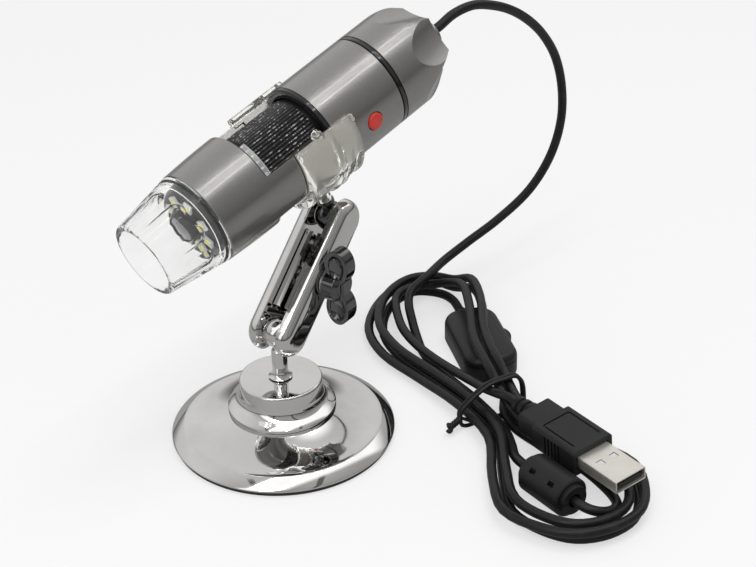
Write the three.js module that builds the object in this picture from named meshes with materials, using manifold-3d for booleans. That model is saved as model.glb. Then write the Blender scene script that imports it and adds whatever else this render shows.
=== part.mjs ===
// USB digital microscope clamped on a round stand with a ball-jointed arm.
// Millimetres, +Z up. The origin is the centre of the base's resting face.
import * as THREE from 'three';
import { mergeVertices } from 'three/addons/utils/BufferGeometryUtils.js';
import Module from 'manifold-3d';

const wasm = await Module();
wasm.setup();

// Clearances and facet counts shared by every piece
const gap = 0.3;            // between two pieces that touch
const slip = 0.3;           // round a pin in its bore, or a ball in its socket
const overrun = 1;          // how far a cutter runs past the piece it cuts
const edgeStep = 0.5;       // small chamfers, shoulders and side clearances
const turnSides = 36;       // facets round the tube and the base
const middleSides = 24;     // facets round the lens, boards, weight and wheel
const smallSides = 16;      // facets round screws, pins and hubs
const fineSides = 12;       // facets round beads, scoops and the tie's knot
const leastSides = 8;       // facets round flutes, bores and relief sleeves
const hexSides = 6;
const capSteps = 8;         // rings over a ball
const weldTolerance = 1e-4;

// Base
const baseRadius = 36.5;
const padInset = 0.6;
const padThickness = 1.3;
const baseWall = 2;
const rimHeight = 0.8;
const bevelRun = 4.3;
const bevelRise = 2.8;
const dishRadius = 17.6;
const dishHeight = 9.6;
const shoulderHeight = 12;
const shoulderTopHeight = 14.4;
const bossRadius = 13.5;
const bossFillet = 0.8;
const baseHeight = 21.4;

// Lower ball stud and its screw
const ballRadius = 5;
const lowerBallHeight = 38.2;
const studShaftRadius = 2.55;
const studNeckRadius = 1.8;
const studFlareRadius = 3.9;
const studNeckLength = 1.6;
const studScrewRadius = 1.4;
const studScrewReach = 9;
const screwHeadRadius = 3.6;
const screwHeadHeight = 2;

// Arm
const armLength = 41.5;
const armElevation = 42.5;
const armTurn = 13;
const armHalfWidth = 6.8;
const armRimOffset = 3.8;
const armHalfThickness = 8.6;
const spineOffset = 0.9;
const spineHalfWidth = 4;
const spineWall = 0.9;
const pocketWall = 1.7;
const clampBossRadius = 3.6;
const boltRadius = 1.6;
const boltHeadRadius = 3;
const boltHeadHeight = 1.6;
const washerThickness = 0.8;
const washerRadius = 4.4;

// Clamp knob
const hubRadius = 5.5;
const hubDepth = 6;
const knobHeight = 26.6;
const knobThickness = 5;
const lobeHalfDepth = 4.3;
const lobeHalfHeight = 5.9;
const dimpleDepth = 0.9;
const insertRadius = 3.1;
const insertLength = 3.6;

// Microscope tube, measured along its axis from the mouth of the nose cap
const tubeElevation = 17;
const stemLength = 34;
const holderPlace = 66.5;
const noseMouthRadius = 12.6;
const noseSeamRadius = 15.8;
const tubeRadius = 16.5;
const tubeWall = 2.45;
const noseEnd = 21.3;
const noseMouthWall = 2.2;
const noseWall = 2.6;
const spigotLength = 3.4;
const spigotWall = 1;
const boardPlace = 19;
const boardThickness = 1.6;
const boardHoleRadius = 4.8;
const ledCount = 8;
const ledRing = 8.5;
const ledSize = 3.1;
const ledHeight = 0.9;
const fluteRadius = 3;
const fluteDepth = 0.7;
const windowStart = 41;
const windowHalfAngle = 61.5;
const splitPlace = 52.5;
const windowEnd = 66.5;
const bezelLength = 1.6;
const scaleWidth = 2.2;
const scaleThickness = 0.4;
const scaleStartAngle = 17;
const scaleEndAngle = 60.5;
const drumRadius = 13.3;
const drumRibCount = 48;
const drumRibDepth = 0.4;
const drumRibStart = 43.6;
const drumRibEnd = 62;
const drumStart = 36;
const drumJournalLength = 3.4;
const carrierRadius = 11.2;
const carrierWall = 1.9;
const carrierStart = 60.6;
const carrierFlangeStart = 72;
const carrierFlangeLength = 3;
const sensorBoardThickness = 1.4;
const sensorBoardPlace = 64;
const sensorWidth = 6.4;
const sensorHeight = 5.2;
const sensorThickness = 0.9;
const lensFlangeRadius = 8.8;
const lensFlangeStart = 38;
const lensFlangeLength = 8;
const snoutRadius = 4.4;
const snoutStart = 15.5;
const lensBoreRadius = 2.6;
const lensRadius = 3.5;
const lensSeatDepth = 1.4;
const lensThickness = 1;
const lensCrown = 0.3;
const ringPlace = 95.3;
const ringLength = 1.5;
const ringSpigotLength = 3.2;
const ringSpigotWall = 1.6;
const tailCornerPlace = 121;
const tailCornerRadius = 11.9;
const tailTaperStart = 108;
const tailEnd = 124.8;
const tailCollarRadius = 4.7;
const scoopCount = 6;
const scoopRadius = 9;
const scoopDepth = 2.4;
const tailBoreLength = 7;
const tailPocketRadius = 5.2;
const grommetRadius = 2.9;
const grommetFlangeRadius = 4.4;
const grommetFlangeLength = 1.6;
const grommetProud = 0.8;
const buttonPlace = 83;
const buttonRadius = 2.8;
const buttonProud = 1;
const buttonFlange = 0.8;
const buttonFlangeHeight = 0.9;
const buttonTravel = 0.8;
const switchSize = 4.6;
const switchHeight = 2.6;
const plungerRadius = 1.2;
const plungerHeight = 0.9;
const switchBoardLength = 12;
const switchBoardThickness = 1.2;

// Clear holder
const clipStart = 53;
const clipEnd = 75;
const clipThickness = 2.2;
const clipOpenHalfAngle = 66;
const clipBeadRadius = 1.4;
const clipRibStart = 64.2;
const clipRibEnd = 67.7;
const clipRibHeight = 0.8;
const clipNubPlace = 61.5;
const clipNubRadius = 1.7;
const clipNubHoleRadius = 0.7;
const stemTopRadius = 3.6;
const stemRadius = 2.5;
const stemEnd = 26.8;
const stemPinRadius = 1;
const stemPinReach = 4;
const holderNeckRadius = 1.9;
const holderCollarRadius = 2.9;
const holderCollarLength = 1.2;

// Cord and what is on it
const cordRadius = 1.6;
const cordSides = 8;
const cordStep = 8;
const floorGap = 0.1;
const hankHeading = 16;
const hankPlace = [53, -44];
const hankTop = 91;
const hankBottom = -74;
const hankTopPitch = 6.4;
const hankBottomPitch = 4.1;
const hankPitch = 3.95;
const upperSpreadShare = 0.06;
const lowerSpreadShare = 0.1;
const hankWaist = 9.1;
const hankUpperWidth = 32;
const hankLowerWidth = 34;
const hankUpperNarrow = 8;
const hankUpperWide = 78;
const hankLowerNarrow = 10;
const hankLowerWide = 56;
const hankBow = 11.5;
const hankBowReach = 75;
const upperRoundShare = 0.92;
const lowerRoundShare = 0.78;
const hankStepsPerTurn = 24;
const hankSides = 6;
const hankReverse = 1.75;
const hankFirstStep = 12;
const hankLastStep = 82;
const layerGap = 0.8;
const waistLift = 1.1;
const waistFlat = 4;
const waistRun = 22;
const liftStart = -12;
const liftFull = 16;
const liftHold = 54;
const liftEnd = 82;
const tieLength = 4.4;
const tieThickness = 0.7;
const knotRadius = 2.2;
const tieTop = 15;
const dimmerPlace = [36.7, 16.1];
const dimmerTurn = 12.6;
const dimmerHeight = 9.4;
const dimmerWidth = 19;
const dimmerLength = 36;
const dimmerCorner = 7;
const dimmerEdge = 1.4;
const dimmerSplitShare = 0.62;
const dimmerWall = 1.3;
const dimmerReliefLength = 7;
const dimmerReliefRadius = 2.6;
const dimmerReliefHeight = 2.9;
const reliefRibs = 3;
const reliefRibDepth = 0.6;
const reliefRibShare = 0.6;
const wheelRadius = 6.2;
const wheelThickness = 2.4;
const wheelProud = 1.4;
const wheelTeeth = 24;
const potRadius = 3.2;
const potHeight = 1.2;
const spindleRadius = 1.2;
const ferritePlace = [-47.5, -6];
const ferriteHeading = 170;
const ferriteLength = 21;
const ferriteRadius = 6.5;
const ferriteCollarRadius = 4.9;
const ferriteCollarLength = 1.6;
const ferriteWall = 1.4;
const ferriteBore = 2.3;
const plugPlace = [48, -92.2, 13.2];
const plugHeading = -96.4;
const plugPitch = 0.5;
const plugRoll = 4;
const plugWidth = 15.8;
const plugHeight = 9;
const plugLength = 28;
const plugCorner = 1.2;
const plugNotchCount = 4;
const plugNotchWidth = 0.7;
const plugNotchSpacing = 1.6;
const plugReliefRadius = 3.5;
const plugReliefTip = 2.4;
const plugReliefLength = 9;
const plugShellWidth = 12;
const plugShellHeight = 4.5;
const plugShellLength = 17;
const plugShellSunk = 2;
const plugShellWall = 0.4;
const plugWindow = 2.3;
const plugWindowSpacing = 5.4;
const plugWindowPlace = 6.5;
const plugTongueWidth = 10.4;
const plugTongueHeight = 1.8;
const plugPanelDepth = 0.4;

const degrees = Math.PI / 180;
const mid = 0.5;
const angleMargin = 1;

// Materials, coloured as the photographed finishes
const finish = (color, roughness, metalness, opacity = 1) =>
  new THREE.MeshStandardMaterial({ color, roughness, metalness, opacity, transparent: opacity < 1 });
const chrome = finish(0xd2d0cb, 0.12, 1);
const smokedChrome = finish(0x77787a, 0.16, 1);
const steel = finish(0xb9bbbd, 0.35, 1);
const castIron = finish(0x4a4b4c, 0.8, 0.6);
const brass = finish(0xb49a5a, 0.4, 1);
const gunmetal = finish(0x85847f, 0.38, 0.6);
const blackGloss = finish(0x0e0f11, 0.2, 0);
const blackSatin = finish(0x1d1e20, 0.45, 0);
const rubber = finish(0x1b1b1c, 0.8, 0);
const clearPlastic = finish(0xe9ebe6, 0.08, 0, 0.35);
const silverLabel = finish(0xd8d9d8, 0.4, 0.3);
const redPlastic = finish(0xd8392f, 0.4, 0);
const phosphor = finish(0xe6d45a, 0.5, 0);
const greenBoard = finish(0x1f5a38, 0.5, 0);
const sensorBlack = finish(0x15161c, 0.15, 0);
const glass = finish(0xdfe8ee, 0.03, 0, 0.3);
const nickel = finish(0xc9c7bf, 0.25, 1);

// Welds a geometry's points, drops empty triangles and turns its faces outward
function weld(source) {
  const bare = source.clone();
  for (const name of Object.keys(bare.attributes)) {
    if (name !== 'position') bare.deleteAttribute(name);
  }
  const merged = mergeVertices(bare, weldTolerance);
  const index = Array.from(merged.index.array);
  const kept = [];
  for (let i = 0; i < index.length; i += 3) {
    const [a, b, c] = index.slice(i, i + 3);
    if (a !== b && b !== c && c !== a) kept.push(a, b, c);
  }
  merged.setIndex(kept);
  if (signedVolume(merged) < 0) {
    for (let i = 0; i < kept.length; i += 3) [kept[i], kept[i + 1]] = [kept[i + 1], kept[i]];
    merged.setIndex(kept);
  }
  return merged;
}

function signedVolume(geometry) {
  const position = geometry.attributes.position;
  const index = geometry.index.array;
  const corners = [new THREE.Vector3(), new THREE.Vector3(), new THREE.Vector3()];
  let total = 0;
  for (let i = 0; i < index.length; i += 3) {
    corners.forEach((corner, k) => corner.fromBufferAttribute(position, index[i + k]));
    total += corners[0].dot(corners[1].clone().cross(corners[2]));
  }
  return total;
}

function toSolid(geometry) {
  const welded = weld(geometry);
  const vertProperties = new Float32Array(welded.attributes.position.array);
  const triVerts = new Uint32Array(welded.index.array);
  return new wasm.Manifold(new wasm.Mesh({ numProp: 3, vertProperties, triVerts }));
}

function toGeometry(body) {
  const mesh = body.getMesh();
  const geometry = new THREE.BufferGeometry();
  geometry.setAttribute('position', new THREE.BufferAttribute(mesh.vertProperties, 3));
  geometry.setIndex(new THREE.BufferAttribute(mesh.triVerts, 1));
  return geometry;
}

function cut(body, ...cutters) {
  return toGeometry(cutters.reduce((left, cutter) => left.subtract(toSolid(cutter)), toSolid(body)));
}

function join(body, ...others) {
  return toGeometry(others.reduce((sum, other) => sum.add(toSolid(other)), toSolid(body)));
}

function common(body, other) {
  return toGeometry(toSolid(body).intersect(toSolid(other)));
}

// Shapes: a revolve about Z, a straight prism, and a loft through rings of equal count
function revolve(profile, sides = turnSides) {
  const points = profile.map(([radius, height]) => new THREE.Vector2(radius, height));
  return new THREE.LatheGeometry(points, sides).rotateX(Math.PI / 2);
}

function ringProfile(inner, outer, start, end) {
  return [[inner, start], [outer, start], [outer, end], [inner, end], [inner, start]];
}

function cylinder(radius, start, end, sides = smallSides) {
  return revolve([[0, start], [radius, start], [radius, end], [0, end]], sides);
}

function tubeRing(inner, outer, start, end, sides = turnSides) {
  return revolve(ringProfile(inner, outer, start, end), sides);
}

function box(width, depth, height) {
  return new THREE.BoxGeometry(width, depth, height);
}

function ball(radius, sides = smallSides) {
  return new THREE.SphereGeometry(radius, sides, sides / 2).rotateX(Math.PI / 2);
}

function prism(outline, start, end) {
  const shape = new THREE.Shape(outline.map(([x, y]) => new THREE.Vector2(x, y)));
  const depth = end - start;
  return new THREE.ExtrudeGeometry(shape, { depth, bevelEnabled: false }).translate(0, 0, start);
}

function loft(rings) {
  const count = rings[0].length;
  const positions = [];
  const index = [];
  rings.forEach((ring) => ring.forEach((point) => positions.push(point.x, point.y, point.z)));
  for (let k = 0; k + 1 < rings.length; k += 1) {
    for (let i = 0; i < count; i += 1) {
      const next = (i + 1) % count;
      const low = k * count;
      const high = low + count;
      index.push(low + i, low + next, high + next, low + i, high + next, high + i);
    }
  }
  const last = (rings.length - 1) * count;
  for (let i = 1; i + 1 < count; i += 1) {
    index.push(0, i + 1, i);
    index.push(last, last + i, last + i + 1);
  }
  const geometry = new THREE.BufferGeometry();
  geometry.setAttribute('position', new THREE.Float32BufferAttribute(positions, 3));
  geometry.setIndex(index);
  return geometry;
}

// A wedge between two angles round Z, for cutting windows and openings
const sectorSteps = 8;
const sectorReachShare = 1.1;

function sector(startAngle, endAngle, radius, start, end) {
  const reach = radius * sectorReachShare;
  const outline = [[0, 0]];
  for (let i = 0; i <= sectorSteps; i += 1) {
    const angle = (startAngle + ((endAngle - startAngle) * i) / sectorSteps) * degrees;
    outline.push([reach * Math.cos(angle), reach * Math.sin(angle)]);
  }
  return prism(outline, start, end);
}

// A curved plate between two radii and two angles
function arcPlate(inner, outer, startAngle, endAngle, start, end, steps) {
  const outline = [];
  for (let i = 0; i <= steps; i += 1) {
    const angle = (startAngle + ((endAngle - startAngle) * i) / steps) * degrees;
    outline.push([outer * Math.cos(angle), outer * Math.sin(angle)]);
  }
  for (let i = steps; i >= 0; i -= 1) {
    const angle = (startAngle + ((endAngle - startAngle) * i) / steps) * degrees;
    outline.push([inner * Math.cos(angle), inner * Math.sin(angle)]);
  }
  return prism(outline, start, end);
}

// A stadium outline round two centres on X, drawn in by an inset
function stadium(length, halfWidth, steps) {
  const outline = [];
  for (let i = 0; i <= steps; i += 1) {
    const angle = (-mid + i / steps) * Math.PI;
    outline.push([length + halfWidth * Math.cos(angle), halfWidth * Math.sin(angle)]);
  }
  for (let i = 0; i <= steps; i += 1) {
    const angle = (mid + i / steps) * Math.PI;
    outline.push([halfWidth * Math.cos(angle), halfWidth * Math.sin(angle)]);
  }
  return outline;
}

// A tube through a list of points, each ring square to the run there
function sweepTube(points, radius, sides) {
  const tangents = points.map((point, i) => {
    const before = points[Math.max(i - 1, 0)];
    const after = points[Math.min(i + 1, points.length - 1)];
    return after.clone().sub(before).normalize();
  });
  let normal = new THREE.Vector3(0, 0, 1).cross(tangents[0]).normalize();
  const rings = points.map((point, i) => {
    normal = normal.clone().addScaledVector(tangents[i], -normal.dot(tangents[i])).normalize();
    const side = tangents[i].clone().cross(normal);
    return Array.from({ length: sides }, (unused, k) => {
      const angle = ((k + mid) / sides) * 2 * Math.PI;
      return point.clone()
        .addScaledVector(normal, radius * Math.cos(angle))
        .addScaledVector(side, radius * Math.sin(angle));
    });
  });
  return loft(rings);
}

function extrudeAlong(points, radius, sides, steps) {
  const outline = Array.from({ length: sides }, (unused, k) => {
    const angle = (k / sides) * 2 * Math.PI;
    return new THREE.Vector2(radius * Math.cos(angle), radius * Math.sin(angle));
  });
  const extrudePath = new THREE.CatmullRomCurve3(points, false, 'centripetal');
  return new THREE.ExtrudeGeometry(new THREE.Shape(outline), { steps, extrudePath, bevelEnabled: false });
}

const group = new THREE.Group();

function frame(parent, origin, xAxis, zAxis) {
  const holder = new THREE.Group();
  const yAxis = zAxis.clone().cross(xAxis);
  holder.quaternion.setFromRotationMatrix(new THREE.Matrix4().makeBasis(xAxis, yAxis, zAxis));
  holder.position.copy(origin);
  parent.add(holder);
  return holder;
}

function add(parent, name, geometry, material) {
  const mesh = new THREE.Mesh(weld(geometry), material);
  mesh.name = name;
  parent.add(mesh);
  return mesh;
}

// Base: rubber pad, cast weight and the dished, plated shell with its round boss
const shellStart = padThickness + gap;
const bossTop = baseHeight;
const weightTop = dishHeight - baseWall - gap;
const ceiling = baseHeight - baseWall;
const headSeat = ceiling - gap;

function basePad() {
  return cylinder(baseRadius - padInset, 0, padThickness, turnSides);
}

function baseShellProfile() {
  const dishRun = baseRadius - bevelRun - dishRadius;
  const dishRise = dishHeight - shellStart - rimHeight - bevelRise;
  const dishShares = [[0.5, 0.33]];
  const dish = dishShares.map(([run, rise]) => [
    baseRadius - bevelRun - run * dishRun,
    shellStart + rimHeight + bevelRise + rise * dishRise,
  ]);
  const shoulderRise = shoulderTopHeight - shoulderHeight;
  const shoulderRun = dishRadius - bossRadius;
  const shoulder = [0, 45, 80].map((angle) => [
    bossRadius + shoulderRun * Math.cos(angle * degrees),
    shoulderHeight + shoulderRise * Math.sin(angle * degrees),
  ]);
  const fillet = [0, 45, 90].map((angle) => [
    bossRadius - bossFillet + bossFillet * Math.cos(angle * degrees),
    bossTop - bossFillet + bossFillet * Math.sin(angle * degrees),
  ]);
  return [
    [baseRadius, shellStart], [baseRadius, shellStart + rimHeight],
    [baseRadius - bevelRun, shellStart + rimHeight + bevelRise],
    ...dish, [dishRadius, dishHeight], ...shoulder, [bossRadius, shoulderTopHeight], ...fillet,
  ];
}

function baseShell() {
  const hole = studScrewRadius + slip;
  const underRim = shellStart + rimHeight;
  return revolve([
    ...baseShellProfile(), [hole, bossTop], [hole, ceiling], [bossRadius - baseWall, ceiling],
    [bossRadius - baseWall, shoulderHeight], [dishRadius - baseWall, dishHeight - baseWall],
    [baseRadius - bevelRun - baseWall, underRim + bevelRise - rimHeight],
    [baseRadius - baseWall, underRim], [baseRadius - baseWall, shellStart], [baseRadius, shellStart],
  ]);
}

function baseWeight() {
  const bore = screwHeadRadius + gap;
  const clear = baseWall + gap;
  const low = shellStart;
  return revolve([
    [bore, low], [baseRadius - clear, low], [baseRadius - clear, low + rimHeight - gap],
    [baseRadius - bevelRun - clear, low + bevelRise - gap],
    [dishRadius - clear, weightTop], [bossRadius - clear, weightTop + gap],
    [bossRadius - clear, headSeat], [bore, headSeat], [bore, low],
  ], middleSides);
}

const studBottom = bossTop + gap;
const studBoreEnd = studBottom + studScrewReach - baseWall - gap;

function studScrew() {
  const tip = studBoreEnd - gap;
  return revolve([
    [0, headSeat - screwHeadHeight], [screwHeadRadius, headSeat - screwHeadHeight],
    [screwHeadRadius, headSeat], [studScrewRadius, headSeat], [studScrewRadius, tip], [0, tip],
  ], smallSides);
}

// A ball with a neck that meets it on the sphere, starting at a given height below the centre
function neckMeet(neckRadius) {
  return Math.sqrt(ballRadius ** 2 - neckRadius ** 2);
}

function ballCap(centre, neckRadius) {
  const start = Math.asin(neckRadius / ballRadius);
  return Array.from({ length: capSteps }, (unused, i) => {
    const angle = start + ((Math.PI - start) * i) / (capSteps - 1);
    const last = i === capSteps - 1;
    return [last ? 0 : ballRadius * Math.sin(angle), centre - ballRadius * Math.cos(angle)];
  });
}

function lowerBallStud() {
  const shaftStart = studBottom + studNeckLength + studNeckLength / 2;
  const shaftEnd = lowerBallHeight - ballRadius - studNeckLength;
  const bore = studScrewRadius + slip;
  return revolve([
    [bore, studBottom], [studFlareRadius, studBottom],
    [studScrewRadius + 2 * slip + edgeStep, studBottom + studNeckLength],
    [studShaftRadius, shaftStart], [studShaftRadius, shaftEnd], [studNeckRadius, shaftEnd + studNeckLength / 2],
    ...ballCap(lowerBallHeight, studNeckRadius),
    [0, studBoreEnd + overrun], [0, studBoreEnd], [bore, studBoreEnd], [bore, studBottom],
  ], smallSides);
}

add(group, 'base_pad', basePad(), rubber);
add(group, 'base_shell', baseShell(), chrome);
add(group, 'base_weight', baseWeight(), castIron);
add(group, 'stud_screw', studScrew(), steel);
add(group, 'lower_ball_stud', lowerBallStud(), chrome);

// Arm: two domed half shells clamped on both balls by one bolt
const lowerBall = new THREE.Vector3(0, 0, lowerBallHeight);
const armX = new THREE.Vector3(1, 0, 0)
  .applyAxisAngle(new THREE.Vector3(0, 1, 0), -armElevation * degrees)
  .applyAxisAngle(new THREE.Vector3(0, 0, 1), armTurn * degrees);
const armSide = new THREE.Vector3(Math.sin(armTurn * degrees), -Math.cos(armTurn * degrees), 0);
const arm = frame(group, lowerBall, armX, armSide);
const upperBall = lowerBall.clone().addScaledVector(armX, armLength);
const boltPlace = armLength / 2;
const socketRadius = ballRadius + slip;
const pocketFloor = armHalfThickness - pocketWall;
const headPocketDepth = boltHeadHeight + slip;
const domeShares = [[0, 0], [0.4, 0.06], [0.72, 0.22], [0.93, 0.46], [1, 0.68]];
const shellEndSteps = 9;

// One half shell: the rim faces the other half, the domed face points along +Z
function halfShell() {
  const depth = armHalfThickness - armRimOffset;
  const rings = domeShares.map(([rise, inset]) =>
    stadium(armLength, armHalfWidth - inset * armHalfWidth, shellEndSteps)
      .map(([x, y]) => new THREE.Vector3(x, y, armRimOffset + rise * depth)));
  const pocketStart = socketRadius + pocketWall;
  const pocketLength = armLength - 2 * pocketStart;
  const pocket = box(pocketLength, 2 * (spineHalfWidth + edgeStep), pocketFloor - armRimOffset + overrun)
    .translate(boltPlace, 0, (pocketFloor + armRimOffset - overrun) / 2);
  const railDepth = pocketFloor - spineOffset + overrun;
  const rails = [-1, 1].map((side) => box(pocketLength - 2 * edgeStep, spineWall, railDepth)
    .translate(boltPlace, side * (spineHalfWidth - spineWall / 2), spineOffset + railDepth / 2));
  const boss = cylinder(clampBossRadius, spineOffset, pocketFloor + overrun).translate(boltPlace, 0, 0);
  const sockets = [0, armLength].map((place) => ball(socketRadius).translate(place, 0, 0));
  const hollow = cut(loft(rings), pocket, ...sockets);
  const bore = cylinder(boltRadius + slip, 0, armHalfThickness + overrun).translate(boltPlace, 0, 0);
  return cut(join(hollow, ...rails, boss), bore);
}

function backShell() {
  const recess = cylinder(boltHeadRadius + slip, armHalfThickness - headPocketDepth, armHalfThickness + overrun);
  return cut(halfShell(), recess.translate(boltPlace, 0, 0)).rotateX(Math.PI);
}

const washerStart = armHalfThickness + gap;
const hubStart = washerStart + washerThickness + gap;
const hubEnd = hubStart + hubDepth;
const boltTip = hubEnd - 2 * gap - edgeStep;

function clampBolt() {
  const headBottom = -(armHalfThickness - headPocketDepth) - gap;
  return revolve([
    [0, headBottom - boltHeadHeight + gap], [boltHeadRadius, headBottom - boltHeadHeight + gap],
    [boltHeadRadius, headBottom], [boltRadius, headBottom], [boltRadius, boltTip], [0, boltTip],
  ], smallSides).translate(boltPlace, 0, 0);
}

function clampWasher() {
  return tubeRing(boltRadius + slip, washerRadius, washerStart, washerStart + washerThickness, smallSides)
    .translate(boltPlace, 0, 0);
}

add(arm, 'arm_front_shell', halfShell(), chrome);
add(arm, 'arm_back_shell', backShell(), chrome);
add(arm, 'clamp_bolt', clampBolt(), steel);
add(arm, 'clamp_washer', clampWasher(), steel);

// Knob: a hub with a two-lobed wing, dished for finger and thumb
const knobUp = new THREE.Vector3(0, 0, 1);
const knobFrame = frame(
  group, lowerBall.clone().addScaledVector(armX, boltPlace), knobUp, armSide,
);
const lobePlace = knobHeight / 2 - lobeHalfHeight;
const lobeCentre = hubStart + lobeHalfDepth;

const lobeShares = [[-1, 0.84], [-0.6, 1], [0.6, 1], [1, 0.84]];
const dimpleShares = [0.64, 0.56];

function lobe(side) {
  const rings = lobeShares.map(([rise, share]) => {
    return Array.from({ length: smallSides }, (unused, i) => {
      const angle = (i / smallSides) * 2 * Math.PI;
      return new THREE.Vector3(
        side * lobePlace + share * lobeHalfHeight * Math.cos(angle),
        (rise * knobThickness) / 2,
        lobeCentre + share * lobeHalfDepth * Math.sin(angle),
      );
    });
  });
  return loft(rings);
}

function clampKnob() {
  const web = box(2 * lobePlace, knobThickness - 2 * edgeStep, lobeHalfDepth + edgeStep)
    .translate(0, 0, lobeCentre);
  const hub = revolve([
    [0, hubStart], [hubRadius, hubStart], [hubRadius, hubEnd - 2 * edgeStep],
    [hubRadius - 2 * edgeStep, hubEnd], [0, hubEnd],
  ], smallSides);
  const pocket = cylinder(insertRadius + gap, hubStart - overrun, hubStart + insertLength + gap, hexSides);
  const bore = cylinder(boltRadius + slip, hubStart, boltTip + gap);
  const dimples = [];
  for (const end of [-1, 1]) {
    for (const face of [-1, 1]) {
      const dish = new THREE.SphereGeometry(1, fineSides, fineSides / 2);
      dish.scale(lobeHalfHeight * dimpleShares[0], dimpleDepth, lobeHalfDepth * dimpleShares[1]);
      dimples.push(dish.translate(end * lobePlace, (face * knobThickness) / 2, lobeCentre));
    }
  }
  return cut(join(hub, web, lobe(-1), lobe(1)), pocket, bore, ...dimples);
}

function knobInsert() {
  const body = cylinder(insertRadius, hubStart + gap, hubStart + insertLength, hexSides);
  return cut(body, cylinder(boltRadius + slip, hubStart, hubStart + insertLength + overrun));
}

add(knobFrame, 'clamp_knob', clampKnob(), smokedChrome);
add(knobFrame, 'knob_insert', knobInsert(), brass);

// Tube frame: Z along the tube from the nose, X up, Y toward the side with the button
const tubeAxis = new THREE.Vector3(Math.cos(tubeElevation * degrees), 0, Math.sin(tubeElevation * degrees));
const tubeUp = new THREE.Vector3(-tubeAxis.z, 0, tubeAxis.x);
const noseMouth = upperBall.clone().addScaledVector(tubeUp, stemLength).addScaledVector(tubeAxis, -holderPlace);
const tube = frame(group, noseMouth, tubeUp, tubeAxis);
const bore = tubeRadius - tubeWall;

function outerRadiusAt(place) {
  const slope = (noseSeamRadius - noseMouthRadius) / noseEnd;
  return noseMouthRadius + slope * place;
}

function ledAngle(i) {
  return ((i + mid) / ledCount) * 2 * Math.PI;
}

// Clear nose cap: a cone with a rounded mouth, light pockets and a spigot into the barrel
function noseCap() {
  const spigotOuter = bore - gap;
  const spigotInner = spigotOuter - spigotWall;
  const lip = noseMouthWall / 2;
  const innerMouth = noseMouthRadius - noseMouthWall;
  const innerSeat = spigotInner - edgeStep - gap;
  const spigotEnd = noseEnd + spigotLength;
  const round = [180, 225, 270, 315, 360].map((angle) => [
    noseMouthRadius - lip + lip * Math.cos(angle * degrees), lip + lip * Math.sin(angle * degrees),
  ]);
  const shell = revolve([
    ...round, [noseSeamRadius, noseEnd], [spigotOuter, noseEnd], [spigotOuter, spigotEnd],
    [spigotInner, spigotEnd], [spigotInner, boardPlace], [innerSeat, boardPlace], round[0],
  ]);
  const lean = Math.atan((innerSeat - innerMouth) / boardPlace);
  const fluteLength = boardPlace - lip - fluteRadius + overrun;
  const flutes = Array.from({ length: ledCount }, (unused, i) => {
    const flute = revolve([
      [0, -fluteRadius], [fluteRadius * Math.SQRT1_2, -fluteRadius * Math.SQRT1_2], [fluteRadius, 0],
      [fluteRadius, fluteLength], [0, fluteLength],
    ], leastSides);
    const reach = innerMouth + fluteDepth - fluteRadius + lean * (lip + fluteRadius);
    return flute.rotateY(lean).translate(reach, 0, lip + fluteRadius).rotateZ(ledAngle(i));
  });
  return cut(shell, ...flutes);
}

const boardRadius = bore - gap - spigotWall - gap;
const boardStart = boardPlace + gap;

function ledBoard() {
  return tubeRing(boardHoleRadius, boardRadius, boardStart, boardStart + boardThickness, middleSides);
}

function led(i) {
  const top = boardStart - gap - ledHeight;
  const body = box(ledSize, ledSize, ledHeight).translate(0, 0, top + ledHeight / 2);
  const dome = revolve([
    [0, top - ledHeight / 2], [ledSize / 4, top - ledHeight / 3], [ledSize / 3, top],
    [ledSize / 3, top + ledHeight / 2], [0, top + ledHeight / 2],
  ], leastSides);
  return join(body, dome).translate(ledRing, 0, 0).rotateZ(ledAngle(i));
}

// Barrels: one tube split across two windows, front and rear
const lapLength = 3;
const lapSkin = tubeWall / 2;
const scaleSteps = 8;

function windows(start, end) {
  return [0, 180].map((turn) =>
    sector(turn - windowHalfAngle, turn + windowHalfAngle, tubeRadius, start, end));
}

const frontEnd = splitPlace - gap / 2;
const rearStart = splitPlace + gap / 2;
const rearEnd = ringPlace - gap;

function frontBarrel() {
  const start = noseEnd + gap;
  const shell = revolve([
    [bore, start], [noseSeamRadius, start],
    [(noseSeamRadius + tubeRadius) / 2 + (tubeRadius - noseSeamRadius) / 8, (start + windowStart) / 2],
    [tubeRadius, windowStart - scaleWidth], [tubeRadius, frontEnd], [bore + lapSkin, frontEnd],
    [bore + lapSkin, frontEnd + lapLength], [bore, frontEnd + lapLength], [bore, start],
  ]);
  const [upper, lower] = windows(windowStart, frontEnd + lapLength + overrun);
  const keep = arcPlate(
    bore - overrun, tubeRadius - 2 * gap - scaleThickness / 2,
    scaleStartAngle - angleMargin, windowHalfAngle + angleMargin,
    windowStart - overrun, windowStart + scaleWidth + gap, scaleSteps,
  );
  return cut(shell, cut(upper, keep), lower);
}

function scaleLabel() {
  const outer = tubeRadius - gap / 3;
  return arcPlate(
    outer - scaleThickness, outer, scaleStartAngle, scaleEndAngle,
    windowStart + gap, windowStart + scaleWidth, scaleSteps,
  );
}

function rearBarrel() {
  const shell = revolve([
    [bore + lapSkin + gap, rearStart], [tubeRadius, rearStart], [tubeRadius, rearEnd], [bore, rearEnd],
    [bore, rearStart + lapLength + gap], [bore + lapSkin + gap, rearStart + lapLength + gap],
    [bore + lapSkin + gap, rearStart],
  ]);
  const hole = cylinder(buttonRadius + slip, bore - 2 * overrun, tubeRadius + overrun)
    .rotateX(-Math.PI / 2).translate(0, 0, buttonPlace);
  return cut(shell, ...windows(rearStart - overrun, windowEnd + bezelLength), hole);
}

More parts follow.
